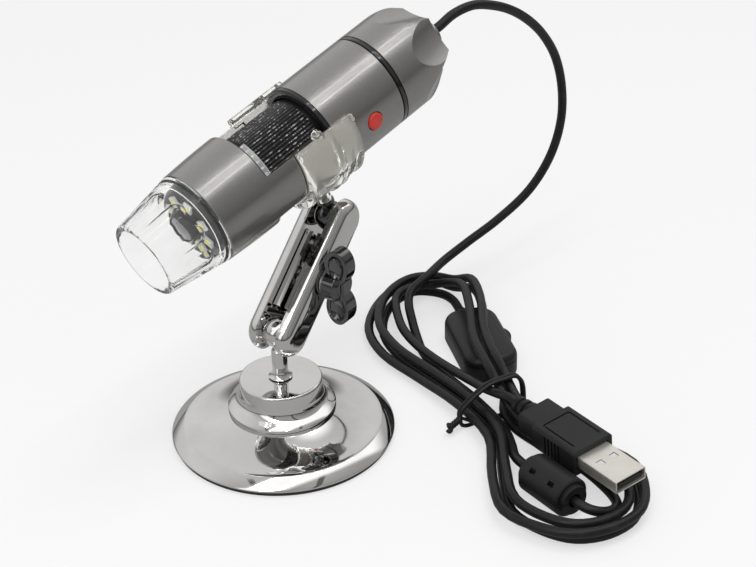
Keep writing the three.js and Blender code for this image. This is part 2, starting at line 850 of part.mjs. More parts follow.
// Gloss bezel round the rear end of the two windows
function rearBezel() {
  const start = windowEnd;
  const end = windowEnd + bezelLength - gap;
  const inner = bore - gap - 2 * gap;
  const round = bezelLength / 2;
  const ring = revolve([
    [inner, start + round / 2], [inner + round / 2, start], [tubeRadius - round, start],
    [tubeRadius - round / 4, start + round / 4], [tubeRadius, start + round], [tubeRadius, end],
    [bore - gap, end], [bore - gap, end + bezelLength], [inner, end + bezelLength], [inner, start + round / 2],
  ]);
  const relief = [90, 270].map((turn) => {
    const half = 90 - windowHalfAngle + angleMargin;
    return arcPlate(
      bore - gap, tubeRadius + overrun, turn - half, turn + half, start - overrun, end + overrun, scaleSteps,
    );
  });
  return cut(ring, ...relief);
}

function seamRing() {
  const spigot = bore - gap;
  return revolve([
    [spigot - ringSpigotWall, ringPlace - ringSpigotLength], [spigot, ringPlace - ringSpigotLength],
    [spigot, ringPlace], [tubeRadius, ringPlace], [tubeRadius, ringPlace + ringLength],
    [spigot, ringPlace + ringLength], [spigot, ringPlace + ringLength + ringSpigotLength],
    [spigot - ringSpigotWall, ringPlace + ringLength + ringSpigotLength],
    [spigot - ringSpigotWall, ringPlace - ringSpigotLength],
  ]);
}

// Tail cap: a tapered end with six scoops between its corners, drawn up to a cord collar
const tailStart = ringPlace + ringLength + gap;
const tailPocketEnd = tailStart + tailBoreLength;
const grommetBore = grommetRadius + slip;
const grommetPocketEnd = tailEnd - tailBoreLength;

function tailCap() {
  const taperRun = tubeRadius - tailCornerRadius;
  const taperRise = tailCornerPlace - tailTaperStart;
  const taperShares = [[0.04, 0.2], [0.16, 0.42], [0.4, 0.68], [0.68, 0.87], [1, 1]];
  const scoopLeanShare = 1.5;
  const taper = taperShares.map(([run, rise]) => [
    tubeRadius - run * taperRun, tailTaperStart + rise * taperRise,
  ]);
  const endRun = tailCornerRadius - tailCollarRadius;
  const endRise = tailEnd - tailCornerPlace;
  const endShares = [[0.35, 0.06], [0.7, 0.28], [0.9, 0.62], [1, 1]];
  const end = endShares.map(([run, rise]) => [
    tailCornerRadius - run * endRun, tailCornerPlace + rise * endRise,
  ]);
  const cap = revolve([
    [bore, tailStart], [tubeRadius, tailStart], [tubeRadius, tailTaperStart], ...taper, ...end,
    [grommetBore, tailEnd], [grommetBore, grommetPocketEnd], [tailPocketRadius, grommetPocketEnd],
    [tailPocketRadius, tailPocketEnd + tubeWall], [bore, tailPocketEnd], [bore, tailStart],
  ]);
  const lean = Math.atan(taperRun / taperRise);
  const scoops = Array.from({ length: scoopCount }, (unused, i) => {
    const scoop = revolve([
      [0, -scoopRadius], [scoopRadius * mid, -scoopRadius * Math.sin(60 * degrees)],
      [scoopRadius * Math.sin(60 * degrees), -scoopRadius * mid], [scoopRadius, 0],
      [scoopRadius, 2 * taperRise], [0, 2 * taperRise],
    ], fineSides);
    const place = tailTaperStart + scoopRadius;
    const reach = tubeRadius + scoopRadius - scoopDepth;
    const turn = (i / scoopCount) * 2 * Math.PI;
    return scoop.rotateY(-lean * scoopLeanShare).translate(reach, 0, place).rotateZ(turn);
  });
  return cut(cap, ...scoops);
}

function cordGrommet() {
  const flangeEnd = grommetPocketEnd - gap;
  return revolve([
    [0, flangeEnd - grommetFlangeLength], [grommetFlangeRadius, flangeEnd - grommetFlangeLength],
    [grommetFlangeRadius, flangeEnd], [grommetRadius, flangeEnd], [grommetRadius, tailEnd + grommetProud - gap],
    [grommetRadius - gap, tailEnd + grommetProud], [0, tailEnd + grommetProud],
  ], smallSides);
}

// Focus drum: two smooth journals with a ribbed grip between them
const drumInner = lensFlangeRadius + slip;
const journalRadius = bore - slip;
const rearJournalRadius = bore - 3 * gap - slip;
const carrierBore = carrierRadius - carrierWall;
const drumEnd = windowEnd + bezelLength + drumJournalLength - 2 * gap;

const ribShares = [[0, 0], [0.5, 1]];

function ribbedOutline() {
  const outline = [];
  for (let i = 0; i < drumRibCount; i += 1) {
    for (const [share, height] of ribShares) {
      const angle = ((i + share) / drumRibCount) * 2 * Math.PI;
      const radius = drumRadius - (1 - height) * drumRibDepth;
      outline.push([radius * Math.cos(angle), radius * Math.sin(angle)]);
    }
  }
  return outline;
}

function focusDrum() {
  const root = drumRadius - 2 * drumRibDepth;
  const counterbore = carrierStart - gap - edgeStep;
  const core = revolve([
    [drumInner, drumStart], [journalRadius, drumStart], [journalRadius, windowStart + scaleWidth],
    [root, windowStart + scaleWidth], [root, drumRibEnd], [rearJournalRadius, drumRibEnd],
    [rearJournalRadius, drumEnd], [carrierRadius + slip, drumEnd], [carrierRadius + slip, counterbore],
    [drumInner, counterbore], [drumInner, drumStart],
  ]);
  const grip = prism(ribbedOutline(), drumRibStart, drumRibEnd);
  const gripBore = (root + carrierRadius + slip) / 2;
  const hollow = cylinder(gripBore, drumRibStart - overrun, drumRibEnd + overrun, turnSides);
  return join(core, cut(grip, hollow));
}

// Sensor carrier: a tube from the rear barrel that holds the sensor board behind the lens
function sensorCarrier() {
  const boardBore = carrierBore + overrun;
  const flangeEnd = carrierFlangeStart + carrierFlangeLength;
  return revolve([
    [carrierBore, carrierStart], [carrierRadius, carrierStart], [carrierRadius, carrierFlangeStart],
    [bore - gap, carrierFlangeStart], [bore - gap, flangeEnd], [boardBore, flangeEnd],
    [boardBore, sensorBoardPlace - gap], [carrierBore, sensorBoardPlace - gap], [carrierBore, carrierStart],
  ], middleSides);
}

function sensorBoard() {
  const radius = carrierBore + overrun - gap;
  return cylinder(radius, sensorBoardPlace, sensorBoardPlace + sensorBoardThickness, middleSides);
}

function imageSensor() {
  return box(sensorWidth, sensorHeight, sensorThickness)
    .translate(0, 0, sensorBoardPlace - gap - sensorThickness / 2);
}

function lensBarrel() {
  const flangeEnd = lensFlangeStart + lensFlangeLength;
  const seat = lensRadius + slip;
  return revolve([
    [lensBoreRadius, snoutStart + lensSeatDepth], [seat, snoutStart + lensSeatDepth], [seat, snoutStart],
    [snoutRadius, snoutStart], [snoutRadius, lensFlangeStart], [lensFlangeRadius, lensFlangeStart],
    [lensFlangeRadius, flangeEnd], [lensBoreRadius, flangeEnd], [lensBoreRadius, snoutStart + lensSeatDepth],
  ], middleSides);
}

function lensGlass() {
  const back = snoutStart + lensSeatDepth - gap;
  const front = back - lensThickness;
  return revolve([
    [0, back], [lensRadius, back], [lensRadius, front + lensCrown], [lensRadius * mid, front + lensCrown / 4],
    [0, front],
  ], smallSides);
}

// Snapshot button with its switch, on a board held across the rear barrel
const buttonTop = tubeRadius + buttonProud;
const buttonFlangeTop = Math.sqrt(bore ** 2 - (buttonRadius + buttonFlange) ** 2) - gap;
const buttonBottom = buttonFlangeTop - buttonFlangeHeight;
const plungerTop = buttonBottom - buttonTravel - gap;
const switchTop = plungerTop - plungerHeight;
const switchBoardTop = switchTop - switchHeight - gap;

function facingButton(geometry) {
  return geometry.rotateX(-Math.PI / 2).translate(0, 0, buttonPlace);
}

function snapButton() {
  const crown = buttonProud / 4;
  return facingButton(revolve([
    [0, buttonBottom], [buttonRadius + buttonFlange, buttonBottom],
    [buttonRadius + buttonFlange, buttonFlangeTop], [buttonRadius, buttonFlangeTop],
    [buttonRadius, buttonTop - 2 * crown], [buttonRadius - crown, buttonTop - crown],
    [0, buttonTop],
  ], smallSides));
}

function snapSwitch() {
  const body = box(switchSize, switchSize, switchHeight).translate(0, 0, switchTop - switchHeight / 2);
  const plunger = cylinder(plungerRadius, switchTop - overrun, plungerTop, leastSides);
  return facingButton(join(body, plunger));
}

function switchBoard() {
  const halfWidth = Math.sqrt((bore - gap) ** 2 - switchBoardTop ** 2);
  return facingButton(box(2 * halfWidth, switchBoardLength, switchBoardThickness)
    .translate(0, 0, switchBoardTop - switchBoardThickness / 2));
}

add(tube, 'nose_cap', noseCap(), clearPlastic);
add(tube, 'led_board', ledBoard(), blackSatin);
for (let i = 0; i < ledCount; i += 1) add(tube, `led_${i + 1}`, led(i), phosphor);
add(tube, 'front_barrel', frontBarrel(), gunmetal);
add(tube, 'scale_label', scaleLabel(), silverLabel);
add(tube, 'rear_barrel', rearBarrel(), gunmetal);
add(tube, 'rear_bezel', rearBezel(), blackGloss);
add(tube, 'seam_ring', seamRing(), blackGloss);
add(tube, 'tail_cap', tailCap(), gunmetal);
add(tube, 'cord_grommet', cordGrommet(), rubber);
add(tube, 'focus_drum', focusDrum(), blackGloss);
add(tube, 'sensor_carrier', sensorCarrier(), blackSatin);
add(tube, 'sensor_board', sensorBoard(), greenBoard);
add(tube, 'image_sensor', imageSensor(), sensorBlack);
add(tube, 'lens_barrel', lensBarrel(), blackSatin);
add(tube, 'lens_glass', lensGlass(), glass);
add(tube, 'snap_button', snapButton(), redPlastic);
add(tube, 'snap_switch', snapSwitch(), blackSatin);
add(tube, 'switch_board', switchBoard(), greenBoard);

// Clear holder: an open C with beaded ends, a middle rib, a tie loop and a stem
const clipInner = tubeRadius + slip;
const clipOuter = clipInner + clipThickness;

function holderClip() {
  const band = tubeRing(clipInner, clipOuter, clipStart, clipEnd);
  const rib = tubeRing(clipInner, clipOuter + clipRibHeight, clipRibStart, clipRibEnd);
  const opening = sector(-clipOpenHalfAngle, clipOpenHalfAngle, clipOuter + 4 * overrun,
    clipStart - overrun, clipEnd + overrun);
  const beadRing = clipInner + clipBeadRadius;
  const beads = [-1, 1].map((side) => {
    const angle = side * clipOpenHalfAngle * degrees;
    return cylinder(clipBeadRadius, clipStart, clipEnd, fineSides)
      .translate(beadRing * Math.cos(angle), beadRing * Math.sin(angle), 0);
  });
  const nubAngle = (clipOpenHalfAngle - 1) * degrees;
  const nub = cylinder(clipNubRadius, -clipBeadRadius, clipBeadRadius, fineSides).rotateX(Math.PI / 2)
    .translate(clipOuter * Math.cos(nubAngle) + clipNubRadius, beadRing * Math.sin(nubAngle), clipNubPlace);
  const nubHole = cylinder(clipNubHoleRadius, -clipNubRadius - overrun, clipNubRadius + overrun, leastSides)
    .rotateX(Math.PI / 2)
    .translate(clipOuter * Math.cos(nubAngle) + clipNubRadius, beadRing * Math.sin(nubAngle), clipNubPlace);
  const stem = revolve([
    [0, clipInner + slip], [stemTopRadius + 2 * edgeStep, clipInner + slip],
    [stemTopRadius, clipOuter + clipRibHeight + edgeStep], [stemRadius, clipOuter + 3 * clipRibHeight],
    [stemRadius - edgeStep / 2, stemEnd], [0, stemEnd],
  ], smallSides).rotateY(-Math.PI / 2).translate(0, 0, holderPlace);
  const pinBore = cylinder(stemPinRadius + slip / 2, stemEnd - stemPinReach - gap, stemEnd + overrun, leastSides)
    .rotateY(-Math.PI / 2).translate(0, 0, holderPlace);
  const arc = cut(join(band, rib), opening);
  return cut(join(arc, ...beads, nub, stem), nubHole, pinBore);
}

function holderBall() {
  const collarEnd = stemLength - stemEnd - gap;
  const collarStart = collarEnd - holderCollarLength;
  const meet = neckMeet(holderNeckRadius);
  const cap = ballCap(0, holderNeckRadius).map(([radius, height]) => [radius, -height]);
  return revolve([
    [0, collarEnd + stemPinReach], [stemPinRadius, collarEnd + stemPinReach], [stemPinRadius, collarEnd],
    [holderCollarRadius, collarEnd], [holderCollarRadius, collarStart],
    [holderNeckRadius, (collarStart + meet) / 2],
    ...cap,
  ], smallSides).rotateY(Math.PI / 2).translate(-stemLength, 0, holderPlace);
}

add(tube, 'holder_clip', holderClip(), clearPlastic);
add(tube, 'holder_ball', holderBall(), smokedChrome);

// Cord: it leaves the tail, lands beside the stand, is tied in a hank and ends in the plug
const hankTurnedBy = hankHeading * degrees;

// A point given along the hank, across it and above the floor
function hankPoint([along, across, height]) {
  const sine = Math.sin(hankTurnedBy);
  const cosine = Math.cos(hankTurnedBy);
  return new THREE.Vector3(
    hankPlace[0] + along * sine + across * cosine,
    hankPlace[1] + along * cosine - across * sine,
    height,
  );
}

function hankFrame(place, turn, height) {
  const origin = hankPoint([...place, height]);
  const heading = Math.PI / 2 - hankTurnedBy - turn * degrees;
  const xAxis = new THREE.Vector3(Math.cos(heading), Math.sin(heading), 0);
  return frame(group, origin, xAxis, new THREE.Vector3(0, 0, 1));
}

function smooth(value, from, to) {
  return THREE.MathUtils.smoothstep(value, from, to);
}

function rise(value, from, to) {
  const share = THREE.MathUtils.clamp((value - from) / (to - from), 0, 1);
  return (1 - Math.cos(Math.PI * share)) / 2;
}

const floorHeight = cordRadius + floorGap;
const dimmerLift = dimmerHeight + gap + 2 * floorGap;

function liftAt(along) {
  return dimmerLift * rise(along, liftStart, liftFull) * (1 - rise(along, liftHold, liftEnd));
}

function waistLiftAt(along) {
  return waistLift * (1 - smooth(Math.abs(along), waistFlat, waistRun));
}

// One place in the hank: turn 0 is its near end, 0.25 the right run, 0.5 the far end
function hankAt(turn) {
  const inward = Math.abs(turn - hankReverse);
  const top = hankTop - hankTopPitch * inward;
  const bottom = hankBottom + hankBottomPitch * inward;
  const angle = 2 * Math.PI * turn;
  const along = (top + bottom) / 2 - ((top - bottom) / 2) * Math.cos(angle);
  const upper = smooth(along, hankUpperNarrow, hankUpperWide) * (hankUpperWidth - hankWaist);
  const lower = smooth(-along, hankLowerNarrow, hankLowerWide) * (hankLowerWidth - hankWaist);
  const pitch = hankPitch + upperSpreadShare * upper + lowerSpreadShare * lower;
  const swing = Math.sin(angle);
  const shaped = Math.sign(swing) * Math.abs(swing) ** (along < 0 ? lowerRoundShare : upperRoundShare);
  const bow = hankBow * (Math.max(along, 0) / hankBowReach) ** 2;
  const across = bow + (hankWaist + upper + lower - inward * pitch) * shaped;
  const lifted = swing > 0 ? 1 : 0;
  const slope = lifted * (liftAt(along + mid) - liftAt(along - mid));
  const layer = (2 * cordRadius + layerGap) * Math.sqrt(1 + slope ** 2);
  const climb = smooth(turn, hankReverse - mid / 2, hankReverse + mid / 2);
  const height = floorHeight + waistLiftAt(along) + lifted * liftAt(along) + layer * climb;
  return hankPoint([along, across, height]);
}

// The least gap between two runs of a tube, measured on points along it
function leastGap(points, radius) {
  const curve = new THREE.CatmullRomCurve3(points, false, 'centripetal');
  const count = Math.round(curve.getLength());
  const samples = curve.getSpacedPoints(count);
  const apart = Math.ceil(4 * Math.PI * radius);
  let least = Infinity;
  for (let i = 0; i < samples.length; i += 1) {
    for (let k = i + apart; k < samples.length; k += 1) {
      least = Math.min(least, samples[i].distanceTo(samples[k]));
    }
  }
  return least - 2 * radius;
}

const dimmerHalf = dimmerLength / 2 + dimmerReliefLength;

function alongHeading([along, across], turn, distance, height) {
  return [along + distance * Math.cos(turn * degrees), across + distance * Math.sin(turn * degrees), height];
}

function besideDimmer(distance) {
  return alongHeading(dimmerPlace, dimmerTurn, distance, dimmerReliefHeight);
}

function besideFerrite(distance) {
  return alongHeading(ferritePlace, ferriteHeading, distance, ferriteRadius + gap);
}

const hankStartPoints = [[70.2, 23.4, 2.3], [75.6, 22.7, 1.9], [80.2, 19.4, 1.7]];
const hankEndPoints = [[76.6, 20.4, 6.7], [79.2, 16.6, 6], [79.8, 12, 5.8]];

function hankPoints() {
  const start = [besideDimmer(dimmerHalf + gap), besideDimmer(dimmerHalf + gap + 2 * cordRadius)];
  const points = [...start, ...hankStartPoints].map(hankPoint);
  for (let step = hankFirstStep; step <= hankLastStep; step += 1) points.push(hankAt(step / hankStepsPerTurn));
  return [...points, ...hankEndPoints.map(hankPoint)];
}

const hankRoute = hankPoints();
const hankEnd = hankRoute[hankRoute.length - 1];
const hankEndRun = hankEnd.clone().sub(hankRoute[hankRoute.length - 2]).normalize();
console.log(`least gap in the hank ${leastGap(hankRoute, cordRadius).toFixed(2)} mm`);

// Lead through the air, from the grommet to the hank's far end
const leadStart = noseMouth.clone().addScaledVector(tubeAxis, tailEnd + grommetProud + gap);
const leadStraight = leadStart.clone().addScaledVector(tubeAxis, 2 * cordRadius);
const leadPoints = [
  [86, 7, 119.2], [95, 7, 119.6], [105, 7.2, 116.5], [114, 7.6, 112], [123, 8, 105.5], [131, 8.5, 97.5],
  [138, 9, 87], [142.4, 9.6, 74], [143.6, 10.6, 60], [140.6, 12.6, 46], [133.4, 16, 33.5], [122.5, 21, 23.6],
  [111, 25.6, 16.5], [101.5, 28.2, 11.6],
];

// Floor run: past the tie, through the ferrite, back past the tie and into the light control
const leadEnd = [76.2, 13.4, 9.6];
const leadEndRun = [75.2, 10.4, 8.8];
const innerPoints = [
  [73, 7.2, 7.6], [69.2, 5, 6], [63, 3, 3.8], [55, 0.6, 2.2], [45, -2, 1.7], [34, -2.6, 1.7], [22, -1.6, 1.9],
  [12, -1, 2.5], [4, -0.8, 2.8], [-4, -0.8, 2.8], [-12, -1.5, 2.5], [-19.5, -4, 3.2], [-27, -7.2, 5],
];
const outerPoints = [
  [-62.4, -2.4, 6.3], [-64.2, -0.2, 5.7], [-64.8, 2.9, 4.8], [-63.9, 6, 4], [-61.6, 8.7, 3.1], [-57, 10.5, 2.4],
  [-48, 11.2, 1.8], [-39, 10.4, 1.7], [-29.5, 8, 1.7], [-20, 4.8, 1.8], [-11, 2.6, 2.3], [-6, 2.8, 2.6],
  [-1, 3.9, 2.8], [4, 6.8, 2.8],
];

function leadRoute() {
  const points = leadPoints.map(([x, y, z]) => new THREE.Vector3(x, y, z));
  const end = hankPoint(leadEnd);
  const before = end.clone().multiplyScalar(2).sub(hankPoint(leadEndRun));
  return [leadStart, leadStraight, ...points, before, end];
}

function floorRoute() {
  const faceGap = gap / hankPoint(leadEnd).distanceTo(hankPoint(leadEndRun));
  const start = hankPoint(leadEnd).lerp(hankPoint(leadEndRun), faceGap);
  const half = ferriteLength / 2;
  return [
    start, hankPoint(leadEndRun), ...innerPoints.map(hankPoint),
    hankPoint(besideFerrite(-half - 2 * cordRadius)), hankPoint(besideFerrite(-half)),
    hankPoint(besideFerrite(half)), hankPoint(besideFerrite(half + cordRadius)), ...outerPoints.map(hankPoint),
    hankPoint(besideDimmer(-dimmerHalf - gap - 2 * cordRadius)), hankPoint(besideDimmer(-dimmerHalf - gap)),
  ];
}

// Plug frame: X along the plug toward its tip, Z up through its broad face
const plugAxis = new THREE.Vector3(1, 0, 0).applyAxisAngle(new THREE.Vector3(0, 1, 0), -plugPitch * degrees)
  .applyAxisAngle(new THREE.Vector3(0, 0, 1), plugHeading * degrees);
const plugUp = new THREE.Vector3(0, 0, 1)
  .addScaledVector(plugAxis, -plugAxis.z).normalize().applyAxisAngle(plugAxis, plugRoll * degrees);
const plug = frame(group, new THREE.Vector3(...plugPlace), plugAxis, plugUp);
const plugCordEnd = new THREE.Vector3(...plugPlace)
  .addScaledVector(plugAxis, -plugLength - plugReliefLength - 2 * gap);

const plugRunPoints = [
  [79.2, 7, 5.7], [76.8, 4, 5.7], [73.2, 1.7, 5.7], [66, -1.2, 5.7], [56, -4, 5.7], [44, -4.6, 5.8],
  [32, -3.4, 6.2], [20, -1.8, 7.4], [10, -1.2, 9.4], [3, -1.4, 11.4], [-3.6, -0.2, 12.8],
];

function plugRoute() {
  const start = hankEnd.clone().addScaledVector(hankEndRun, gap);
  const straight = hankEnd.clone().addScaledVector(hankEndRun, gap + cordRadius);
  const before = plugCordEnd.clone().addScaledVector(plugAxis, -2 * cordRadius);
  return [start, straight, ...plugRunPoints.map(hankPoint), before, plugCordEnd];
}

function cord(points) {
  const length = new THREE.CatmullRomCurve3(points, false, 'centripetal').getLength();
  return extrudeAlong(points, cordRadius, cordSides, Math.round(length / cordStep));
}

// Tie: a band round the waist of the hank with its ends twisted at one side
const tieShares = [
  [-0.97, 0], [-1.02, 0.1], [-1.02, 0.42], [-0.82, 0.6], [-0.3, 0.88], [0, 0.97], [0.4, 0.99], [0.72, 0.986],
  [0.9, 0.84], [0.98, 0.64], [0.98, 0.1], [0.9, 0],
];
const tieHalfWidth = hankWaist + cordRadius + 2 * gap;
const knotShares = [1, 0.5, 1.3];
const knotHeightShare = 0.3;

function hankTie() {
  const inner = tieShares.map(([across, height]) => [
    across * tieHalfWidth, tieThickness + floorGap + height * (tieTop - tieThickness),
  ]);
  const centre = [0, tieTop / 2];
  const outer = inner.map(([across, height], i) => {
    const before = inner[(i + inner.length - 1) % inner.length];
    const after = inner[(i + 1) % inner.length];
    const run = new THREE.Vector2(after[0] - before[0], after[1] - before[1]).normalize();
    const side = new THREE.Vector2(run.y, -run.x);
    const away = side.dot(new THREE.Vector2(across - centre[0], height - centre[1])) > 0 ? 1 : -1;
    const outerHeight = Math.max(height + away * tieThickness * side.y, floorGap / 2);
    return [across + away * tieThickness * side.x, outerHeight];
  });
  const band = cut(
    prism(outer, -tieLength / 2, tieLength / 2),
    prism(inner, -tieLength / 2 - overrun, tieLength / 2 + overrun),
  );
  const knot = ball(knotRadius, fineSides).scale(...knotShares)
    .translate(-tieHalfWidth - knotRadius, tieTop * knotHeightShare, 0);
  return join(band, knot);
}

// Light control: two moulded halves round a thumb wheel on its spindle
const cornerSteps = 4;

function roundedOutline(length, width, corner, inset) {
  const outline = [];
  const halfLength = length / 2 - corner;
  const halfWidth = width / 2 - corner;
  const centres = [[1, 1], [-1, 1], [-1, -1], [1, -1]];
  centres.forEach(([x, y], quarter) => {
    for (let i = 0; i <= cornerSteps; i += 1) {
      const angle = ((quarter + i / cornerSteps) * Math.PI) / 2;
      outline.push([
        x * halfLength + (corner - inset) * Math.cos(angle), y * halfWidth + (corner - inset) * Math.sin(angle),
      ]);
    }
  });
  return outline;
}

function roundedBlock(length, width, corner, levels) {
  return loft(levels.map(([height, inset]) => roundedOutline(length, width, corner, inset)
    .map(([x, y]) => new THREE.Vector3(x, y, height))));
}

const dimmerSplit = dimmerHeight * dimmerSplitShare;
const wheelLow = dimmerSplit - wheelThickness / 2;
const wheelPlace = -(dimmerWidth / 2 + wheelProud - wheelRadius);

function wheelPocket(low, high) {
  return cylinder(wheelRadius + gap, low, high, middleSides).translate(0, wheelPlace, 0);
}

function reliefSleeve(radius, tip, length) {
  const ribLength = (length / reliefRibs) * reliefRibShare;
  const profile = [[0, 0]];
  for (let i = 0; i < reliefRibs; i += 1) {
    const share = i / reliefRibs;
    const size = radius + (tip - radius) * share;
    const start = share * length;
    profile.push([size, start], [size, start + ribLength], [size - reliefRibDepth, start + ribLength]);
    profile.push([size - reliefRibDepth, start + length / reliefRibs]);
  }
  const last = profile[profile.length - 1];
  profile.push([0, last[1]]);
  return revolve(profile, leastSides);
}

function dimmerBottom() {
  const block = roundedBlock(dimmerLength, dimmerWidth, dimmerCorner, [
    [0, dimmerEdge / 2], [dimmerEdge / 2, 0], [dimmerSplit - gap / 2, 0],
  ]);
  const sleeves = [-1, 1].map((side) =>
    reliefSleeve(dimmerReliefRadius, dimmerReliefRadius - gap, dimmerReliefLength + overrun)
      .rotateY((side * Math.PI) / 2).translate(side * (dimmerLength / 2 - overrun), 0, dimmerReliefHeight));
  const seat = cylinder(potRadius + gap, dimmerWall, dimmerHeight).translate(0, wheelPlace, 0);
  const slot = wheelPocket(wheelLow - gap, dimmerHeight);
  return cut(join(block, ...sleeves), slot, seat);
}

function dimmerTop() {
  const block = roundedBlock(dimmerLength, dimmerWidth, dimmerCorner, [
    [dimmerSplit + gap / 2, 0], [dimmerHeight - dimmerEdge, gap], [dimmerHeight - gap, dimmerEdge - gap],
    [dimmerHeight, 2 * dimmerEdge],
  ]);
  const spindle = cylinder(spindleRadius + slip, 0, dimmerHeight - dimmerWall).translate(0, wheelPlace, 0);
  return cut(block, wheelPocket(0, dimmerSplit + wheelThickness / 2 + gap), spindle);
}

function dimmerWheel() {
  const outline = Array.from({ length: 2 * wheelTeeth }, (unused, i) => {
    const angle = (i / wheelTeeth) * Math.PI;
    const radius = i % 2 ? wheelRadius : wheelRadius - gap;
    return [radius * Math.cos(angle), radius * Math.sin(angle)];
  });
  const disc = prism(outline, wheelLow, wheelLow + wheelThickness);
  return cut(disc, cylinder(spindleRadius + slip, 0, dimmerHeight)).translate(0, wheelPlace, 0);
}

function dimmerPot() {
  const low = dimmerWall + gap;
  const potTop = Math.min(low + potHeight, wheelLow - gap);
  const high = dimmerHeight - dimmerWall - gap;
  return revolve([
    [0, low], [potRadius, low], [potRadius, potTop], [spindleRadius, potTop], [spindleRadius, high], [0, high],
  ], smallSides).translate(0, wheelPlace, 0);
}

// Ferrite: a bead in a two-part sleeve with a collar at each end, on the floor run
function ferriteSleeve() {
  const half = ferriteLength / 2;
  const inner = half - ferriteCollarLength - ferriteWall;
  const cavity = ferriteRadius - ferriteWall;
  const edge = gap;
  return revolve([
    [ferriteBore, -half], [ferriteCollarRadius, -half], [ferriteCollarRadius, -half + ferriteCollarLength],
    [ferriteRadius - edge, -half + ferriteCollarLength], [ferriteRadius, -half + ferriteCollarLength + edge],
    [ferriteRadius, half - ferriteCollarLength - edge], [ferriteRadius - edge, half - ferriteCollarLength],
    [ferriteCollarRadius, half - ferriteCollarLength], [ferriteCollarRadius, half], [ferriteBore, half],
    [ferriteBore, inner], [cavity, inner], [cavity, -inner], [ferriteBore, -inner], [ferriteBore, -half],
  ], smallSides).rotateY(Math.PI / 2);
}

function ferriteHalf(side) {
  const size = 2 * ferriteLength;
  const keep = box(size, size, size).translate(0, 0, side * (size / 2 + gap / 2));
  return common(ferriteSleeve(), keep);
}

function ferriteBead() {
  const half = ferriteLength / 2 - ferriteCollarLength - ferriteWall - gap;
  return tubeRing(ferriteBore, ferriteRadius - ferriteWall - gap, -half, half, smallSides).rotateY(Math.PI / 2);
}

// Plug: a moulded grip with a relief sleeve, a folded metal shell and its contact tongue
const plugSectionShares = [[1, 0.84], [0.72, 0.84], [0.65, 1], [0, 1]];
const panelPlaceShare = 0.34;
const panelWidthShare = 0.62;
const notchPlaceShare = 0.3;

function plugBody() {
  const rings = plugSectionShares.map(([along, share]) =>
    roundedOutline(plugWidth * share, plugHeight * share, plugCorner, 0)
      .map(([y, z]) => new THREE.Vector3(-plugLength * along, y, z)));
  const socket = box(2 * plugShellSunk, plugShellWidth + 2 * gap, plugShellHeight + 2 * gap);
  const panels = [-1, 1].map((side) => box(plugLength * mid, plugWidth * panelWidthShare, 2 * plugPanelDepth)
    .translate(-plugLength * panelPlaceShare, 0, (side * plugHeight) / 2));
  const notches = [];
  for (const side of [-1, 1]) {
    for (let i = 0; i < plugNotchCount; i += 1) {
      const place = -plugLength * notchPlaceShare - i * plugNotchSpacing;
      const notch = box(plugNotchWidth, 2 * plugPanelDepth, plugHeight + overrun);
      notches.push(notch.translate(place, (side * plugWidth) / 2, 0));
    }
  }
  return cut(loft(rings), socket, ...panels, ...notches);
}

function plugRelief() {
  const flange = gap;
  return reliefSleeve(plugReliefRadius, plugReliefTip, plugReliefLength).rotateY(-Math.PI / 2)
    .translate(-plugLength - flange, 0, 0);
}

function plugShell() {
  const start = -plugShellSunk + gap;
  const length = plugShellLength + plugShellSunk - gap;
  const outer = box(length, plugShellWidth, plugShellHeight).translate(start + length / 2, 0, 0);
  const hollow = box(length, plugShellWidth - 2 * plugShellWall, plugShellHeight - 2 * plugShellWall)
    .translate(start + length / 2 + plugShellWall, 0, 0);
  const windowCuts = [];
  for (const across of [-1, 1]) {
    const window = box(plugWindow, plugWindow, 2 * plugShellHeight);
    windowCuts.push(window.translate(plugWindowPlace, (across * plugWindowSpacing) / 2, 0));
  }
  return cut(outer, hollow, ...windowCuts);
}

function plugTongue() {
  const start = -plugShellSunk + 2 * gap + plugShellWall;
  const length = plugShellLength - start - overrun;
  const low = -plugShellHeight / 2 + plugShellWall + gap;
  return box(length, plugTongueWidth, plugTongueHeight)
    .translate(start + length / 2, 0, low + plugTongueHeight / 2);
}

add(group, 'cord_lead', cord(leadRoute()), blackSatin);
add(group, 'cord_run', cord(floorRoute()), blackSatin);
add(group, 'cord_hank', sweepTube(hankRoute, cordRadius, hankSides), blackSatin);
add(group, 'cord_plug_run', cord(plugRoute()), blackSatin);

const tieX = hankPoint([0, 1, 0]).sub(hankPoint([0, 0, 0]));
const tieZ = tieX.clone().cross(new THREE.Vector3(0, 0, 1));
const tie = frame(group, hankPoint([0, 0, 0]), tieX, tieZ);
add(tie, 'hank_tie', hankTie(), blackSatin);

const dimmer = hankFrame(dimmerPlace, dimmerTurn, 0);
add(dimmer, 'dimmer_bottom', dimmerBottom(), blackSatin);
add(dimmer, 'dimmer_top', dimmerTop(), blackSatin);
add(dimmer, 'dimmer_wheel', dimmerWheel(), blackSatin);
add(dimmer, 'dimmer_pot', dimmerPot(), steel);

const ferrite = hankFrame(ferritePlace, ferriteHeading, ferriteRadius + gap);
add(ferrite, 'ferrite_top', ferriteHalf(1), blackSatin);
add(ferrite, 'ferrite_bottom', ferriteHalf(-1), blackSatin);
add(ferrite, 'ferrite_bead', ferriteBead(), castIron);

add(plug, 'plug_body', plugBody(), blackSatin);
add(plug, 'plug_relief', plugRelief(), blackSatin);
add(plug, 'plug_shell', plugShell(), nickel);
add(plug, 'plug_tongue', plugTongue(), blackSatin);

export default group;
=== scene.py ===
# Digital microscope on a ball-jointed stand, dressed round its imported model
import math

import bmesh
import bpy
from mathutils import Matrix, Vector


